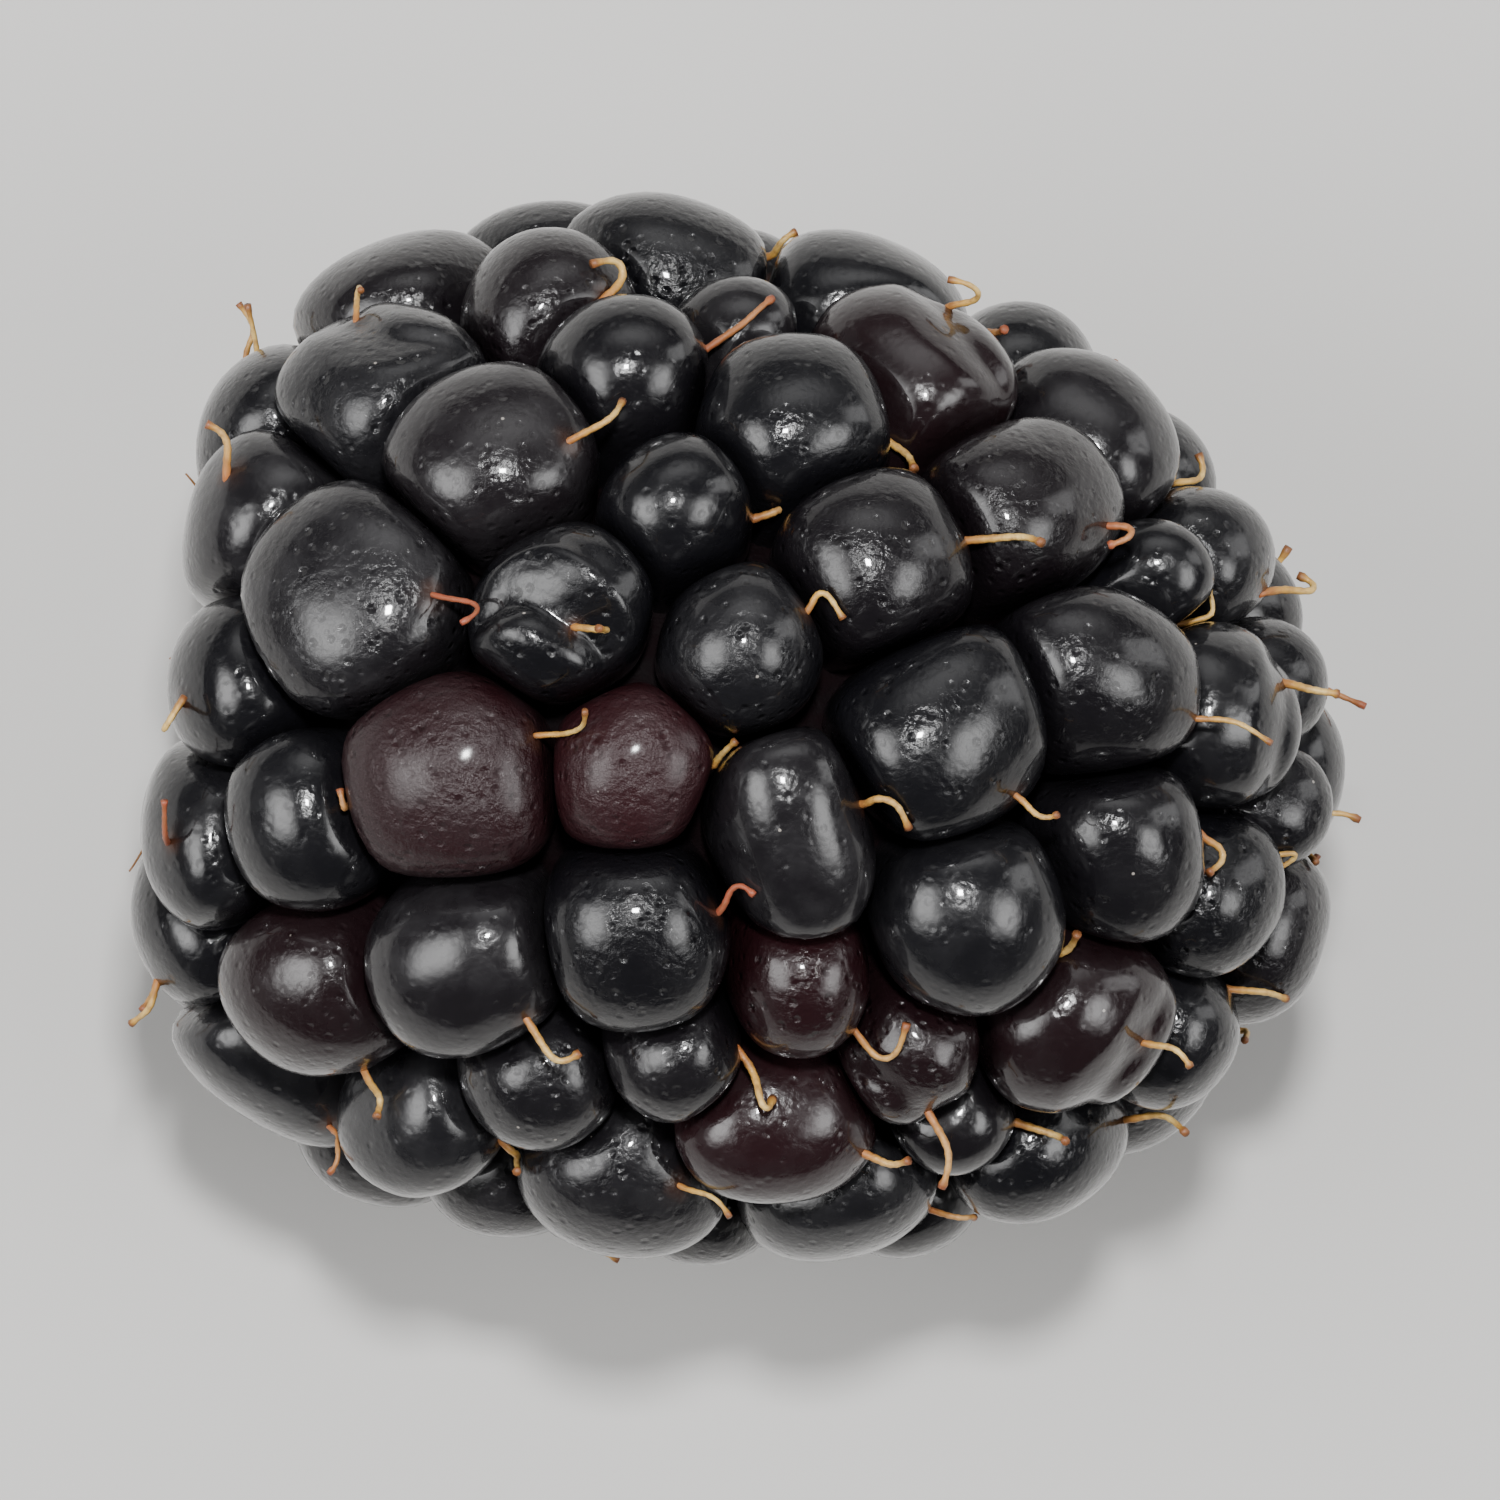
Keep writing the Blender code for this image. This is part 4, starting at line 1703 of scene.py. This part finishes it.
@dataclass
class Receptacle:
    """The pale plug of pith, torn and dished, with arms that climb between the collar's drupelets."""

    crowd: Crowd
    face_x: float = -0.0106
    length: float = 0.0090
    radius: float = 0.0044
    end_radius: float = 0.0022
    rim_rise: float = 0.0009
    arm_reach: float = 0.62
    arm_rise: float = 0.0013
    arm_width: float = 0.15
    arm_draw: Pair = (0.25, 1.0)
    arm_from: float = 0.55
    scallop: float = 0.10
    rings: int = 26
    sides: int = 180
    scar_at: tuple[float, float] = (0.0006, -0.0005)
    scar_oval: float = 1.25
    scar_radius: float = 0.00068
    scar_depth: float = 0.0007
    scar_ragged: float = 0.25
    scar_notches: int = 3
    scar_phase: float = 1.0
    scar_sharpness: int = 4
    level_from: float = 0.9
    edge_from: float = 0.5
    green_from: float = 0.62
    whole_from: float = 0.9
    torn_noise: tuple[float, float, int] = (1.0, 2.1, 4)
    torn_size: float = 0.0011
    torn_depth: float = 0.00026
    pit_size: float = 0.00042
    pit_from: float = 0.15
    pit_depth: float = 0.00085
    seed: int = 8

    def arms(self, turn: np.ndarray) -> np.ndarray:
        """Gives how strongly an arm of pith shows at each turn about the axis, from 0 to 1.

        Args:
            turn: Turns about the axis, in radians.

        Returns:
            One strength for each turn.
        """
        rng = random.Random(self.seed)
        count = self.crowd.layout.collar_count
        strength = np.zeros_like(turn)
        for i in range(count):
            middle = 2 * math.pi * (i + 0.5) / count
            off = (turn - middle + math.pi) % (2 * math.pi) - math.pi
            strength += rng.uniform(*self.arm_draw) * bell(off, self.arm_width)
        return np.clip(strength, 0, 1)

    def torn(self, points: np.ndarray) -> np.ndarray:
        """Gives the roughness of the torn face at each point, as a height.

        Args:
            points: The plug's points, in its own frame.

        Returns:
            One height for each point.
        """
        coarse = np.array([noise.fractal(Vector(p / self.torn_size), *self.torn_noise) for p in points])
        pits = np.array([noise.noise(Vector(p / self.pit_size)) for p in points])
        return self.torn_depth * coarse - self.pit_depth * np.clip(pits - self.pit_from, 0, None)

    def blank(self) -> bpy.types.Object:
        """Models the plug as a cylinder whose face is inset ring by ring.

        Returns:
            The blank, standing on its end below the origin.
        """
        deselect()
        bpy.ops.mesh.primitive_cylinder_add(
            vertices=self.sides, radius=self.radius, depth=self.length, location=(0, 0, -self.length / 2)
        )
        plug = bpy.context.object
        bpy.ops.object.transform_apply(location=True, rotation=False, scale=False)
        for element in (*plug.data.vertices, *plug.data.edges):
            element.select = False
        for polygon in plug.data.polygons:
            polygon.select = polygon.normal.z > self.level_from
        bpy.ops.object.mode_set(mode="EDIT")
        bpy.ops.mesh.select_mode(type="FACE")
        for _ in range(self.rings - 1):
            bpy.ops.mesh.inset(thickness=self.radius / self.rings, depth=0)
        bpy.ops.mesh.poke()
        bpy.ops.object.mode_set(mode="OBJECT")
        return plug

    def height_at(self, share: np.ndarray, turn: np.ndarray) -> np.ndarray:
        """Gives how far the face stands out at a share of its radius and a turn about the axis."""
        arms = self.arms(turn) * smooth_step(self.arm_from, 1.0, share)
        return self.rim_rise * share**2 + self.arm_rise * arms

    def shape(self, plug: bpy.types.Object) -> None:
        """Moves the blank's points to the dish, its rim and arms, the scar and the taper.

        Args:
            plug: The blank.
        """
        points = places(plug.data)
        share = np.hypot(points[:, 0], points[:, 1]) / self.radius
        turn = np.arctan2(points[:, 1], points[:, 0])
        arms = self.arms(turn)
        face = points[:, 2] > -self.length / 2
        edge = smooth_step(self.edge_from, 1.0, share)
        spread = 1 + edge * (self.arm_reach * arms - self.scallop * (1 - arms))
        spread = np.where(face, spread, self.end_radius / self.radius)
        points[:, 0] *= spread
        points[:, 1] *= spread
        off_scar = points[:, :2] - self.scar_at
        off_scar = np.hypot(off_scar[:, 0], off_scar[:, 1] * self.scar_oval)
        notches = np.sin(self.scar_notches * np.arctan2(points[:, 1], points[:, 0]) + self.scar_phase)
        ragged = off_scar * (1 + self.scar_ragged * notches)
        scar = np.exp(-((ragged / self.scar_radius) ** self.scar_sharpness))
        torn = self.torn(points) * (1 - smooth_step(self.whole_from, 1.0, share))
        height = self.height_at(share, turn) + torn
        points[face, 2] += (height - self.scar_depth * scar)[face]
        set_attribute(plug.data, "scar", np.where(face, scar, 0))
        set_attribute(plug.data, "rim", np.where(face, smooth_step(self.green_from, 1.0, share), 1))
        stand = Matrix.Translation((self.face_x, 0, 0)) @ Matrix.Rotation(math.radians(-90), 4, "Y")
        lay = np.array(self.crowd.rest @ stand)
        move_to(plug.data, points @ lay[:3, :3].T + lay[:3, 3])

    def build(self) -> bpy.types.Object:
        """Models the receptacle and dresses it.

        Returns:
            The finished receptacle.
        """
        plug = self.blank()
        self.shape(plug)
        piece = joined([plug], "receptacle_plug")
        piece.data.materials.append(PithFinish().material())
        return piece


@dataclass(frozen=True)
class Lamp:
    """One soft light, placed by how far it leans from straight above the berry."""

    name: str
    right_deg: float
    up_deg: float
    wide_deg: float
    tall_deg: float
    power: float
    soft_edge: float = 0.0


@dataclass
class Studio:
    """The camera above the berry, the lights round the camera, and the floor."""

    aim: np.ndarray
    roll_deg: float = 8.0
    distance: float = 0.52
    view_width: float = 0.0415
    lean_right: float = -0.096
    lean_up: float = -0.063
    sensor: float = 36.0
    clip: Pair = (0.01, 20.0)
    lamp_distance: float = 0.60
    floor_size: float = 2.4
    room: Colour = (0.86, 0.88, 0.92)
    ambient: float = 0.10
    lamps: tuple[Lamp, ...] = (
        Lamp("left_softbox", -48.0, -6.0, 52.0, 58.0, 11.8, soft_edge=0.42),
        Lamp("right_softbox", 43.0, -12.0, 42.0, 48.0, 6.8, soft_edge=0.42),
        Lamp("small_lamp", -4.0, 9.0, 5.0, 5.0, 4.8),
        Lamp("top_panel", 4.0, 56.0, 80.0, 50.0, 3.3, soft_edge=0.5),
        Lamp("rim_panel", 70.0, 50.0, 46.0, 26.0, 1.2, soft_edge=0.3),
    )

    @property
    def picture_right(self) -> np.ndarray:
        """The picture's rightward direction on the ground."""
        roll = math.radians(self.roll_deg)
        return np.array((math.cos(roll), math.sin(roll), 0.0))

    @property
    def picture_up(self) -> np.ndarray:
        """The picture's upward direction on the ground."""
        roll = math.radians(self.roll_deg)
        return np.array((-math.sin(roll), math.cos(roll), 0.0))

    def facing(self, place: np.ndarray) -> Matrix:
        """Gives the matrix of a camera or lamp that looks at the aim with the picture's up direction.

        Args:
            place: Where it stands.

        Returns:
            Its matrix.
        """
        back = unit(place - self.aim)
        right = unit(np.cross(self.picture_up, back))
        up = np.cross(back, right)
        matrix = Matrix.Identity(4)
        for row in range(3):
            matrix[row] = (right[row], up[row], back[row], place[row])
        return matrix

    def add_camera(self) -> None:
        """Puts the camera above the berry, a little towards the picture's lower left."""
        lean = self.lean_right * self.picture_right + self.lean_up * self.picture_up
        place = self.aim + self.distance * unit(lean + np.array((0, 0, 1.0)))
        data = bpy.data.cameras.new("camera")
        data.sensor_width = self.sensor
        data.lens = self.sensor * self.distance / self.view_width
        data.clip_start, data.clip_end = self.clip
        camera = linked("camera", data)
        camera.matrix_world = self.facing(place)
        bpy.context.scene.camera = camera

    def add_lamp(self, lamp: Lamp) -> None:
        """Adds one soft light.

        Args:
            lamp: The light's size, place and power.
        """
        data = bpy.data.lights.new(lamp.name, "AREA")
        data.shape = "RECTANGLE"
        data.size = 2 * self.lamp_distance * math.tan(math.radians(lamp.wide_deg / 2))
        data.size_y = 2 * self.lamp_distance * math.tan(math.radians(lamp.tall_deg / 2))
        data.energy = lamp.power
        if lamp.soft_edge:
            self.soften(data, lamp.soft_edge)
        light = linked(lamp.name, data)
        lean = math.tan(math.radians(lamp.right_deg)) * self.picture_right
        lean = lean + math.tan(math.radians(lamp.up_deg)) * self.picture_up
        away = unit(lean + np.array((0, 0, 1.0)))
        light.matrix_world = self.facing(self.aim + self.lamp_distance * away)

    def soften(self, data: bpy.types.Light, edge: float) -> None:
        """Dims a light towards its edges, as a diffuser does.

        Args:
            data: The light.
            edge: How far the dimming reaches in from each edge, as a share of the light's width.
        """
        data.use_nodes = True
        tree = data.node_tree
        split = tree.nodes.new("ShaderNodeSeparateXYZ")
        tree.links.new(tree.nodes.new("ShaderNodeNewGeometry").outputs["Parametric"], split.inputs[0])
        product = tree.nodes.new("ShaderNodeMath")
        product.operation = "MULTIPLY"
        half = 0.5
        for side in range(2):
            centred = tree.nodes.new("ShaderNodeMath")
            centred.operation = "SUBTRACT"
            centred.inputs[1].default_value = half
            tree.links.new(split.outputs[side], centred.inputs[0])
            size = tree.nodes.new("ShaderNodeMath")
            size.operation = "ABSOLUTE"
            tree.links.new(centred.outputs[0], size.inputs[0])
            fade = tree.nodes.new("ShaderNodeMapRange")
            fade.interpolation_type = "SMOOTHSTEP"
            faded = {"From Min": half - edge, "From Max": half, "To Min": 1.0, "To Max": 0.0}
            for name, value in faded.items():
                fade.inputs[name].default_value = value
            tree.links.new(size.outputs[0], fade.inputs["Value"])
            tree.links.new(fade.outputs["Result"], product.inputs[side])
        tree.links.new(product.outputs[0], tree.nodes["Emission"].inputs["Strength"])

    def add_floor(self) -> None:
        """Adds the floor that the berry lies on."""
        deselect()
        bpy.ops.mesh.primitive_plane_add(size=self.floor_size, location=(0, 0, 0))
        floor = bpy.context.object
        floor.name = "floor"
        floor.data.materials.append(FloorFinish().material())
        floor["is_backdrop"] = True

    def add_world(self) -> None:
        """Adds the even light of a pale room."""
        world = bpy.data.worlds.new("pale_room")
        world.use_nodes = True
        background = world.node_tree.nodes["Background"]
        background.inputs["Color"].default_value = (*self.room, 1)
        background.inputs["Strength"].default_value = self.ambient
        bpy.context.scene.world = world

    def build(self) -> None:
        """Sets up everything round the berry."""
        self.add_camera()
        self.add_world()
        self.add_floor()
        for lamp in self.lamps:
            self.add_lamp(lamp)


MARKS = [
    Mark(right=-0.0059, up=0.0062, dent=1.0),
    Mark(right=-0.0043, up=-0.0013, ripeness=Ripeness.MAROON),
    Mark(right=-0.0095, up=0.0013, ripeness=Ripeness.DULL_RED),
    Mark(right=-0.0003, up=-0.0088, ripeness=Ripeness.RED_BLACK),
    Mark(right=0.0006, up=-0.0121, ripeness=Ripeness.RED_BLACK),
    Mark(right=0.0050, up=-0.0094, ripeness=Ripeness.PLUM, dent=0.45),
    Mark(right=0.0102, up=-0.0089, ripeness=Ripeness.PLUM, dent=0.4, dent_turn_deg=-35.0),
    Mark(right=-0.0131, up=-0.0097, ripeness=Ripeness.PLUM),
    Mark(right=0.0045, up=0.0112, ripeness=Ripeness.PLUM, dent=0.35, dent_turn_deg=25.0),
    Mark(right=0.0143, up=0.0008, dent=0.4, dent_turn_deg=-5.0),
    Mark(right=-0.0100, up=0.0100, dent=0.35, dent_turn_deg=60.0),
]


def report(piece: bpy.types.Object) -> None:
    """Logs a piece's size."""
    triangles = sum(len(polygon.vertices) - 2 for polygon in piece.data.polygons)
    log.info("%s: %d triangles", piece.name, triangles)


def main() -> None:
    """Builds the berry's pieces in order, then the studio round them."""
    logging.basicConfig(level=logging.INFO, format="%(message)s")
    solid_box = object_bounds()
    middle = (solid_box[0] + solid_box[1]) / 2
    studio = Studio(aim=np.array(middle))
    crowd = Crowd(Layout(), Squeeze())
    cluster = DrupeletCluster(crowd, MARKS, studio.picture_right, studio.picture_up)
    drupelets = cluster.build()
    flesh = cluster.build_flesh()
    styles = Styles(crowd).build()
    plug = Receptacle(crowd)
    receptacle = plug.build()
    fibres = TornFibres(crowd, plug).build()
    for piece in (drupelets, flesh, styles, receptacle, fibres):
        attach(piece, BODY)
        report(piece)
    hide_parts(Node.DRUPELETS.value)
    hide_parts(Node.RECEPTACLE.value)
    studio.build()
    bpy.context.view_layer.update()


if __name__ == "__main__":
    main()
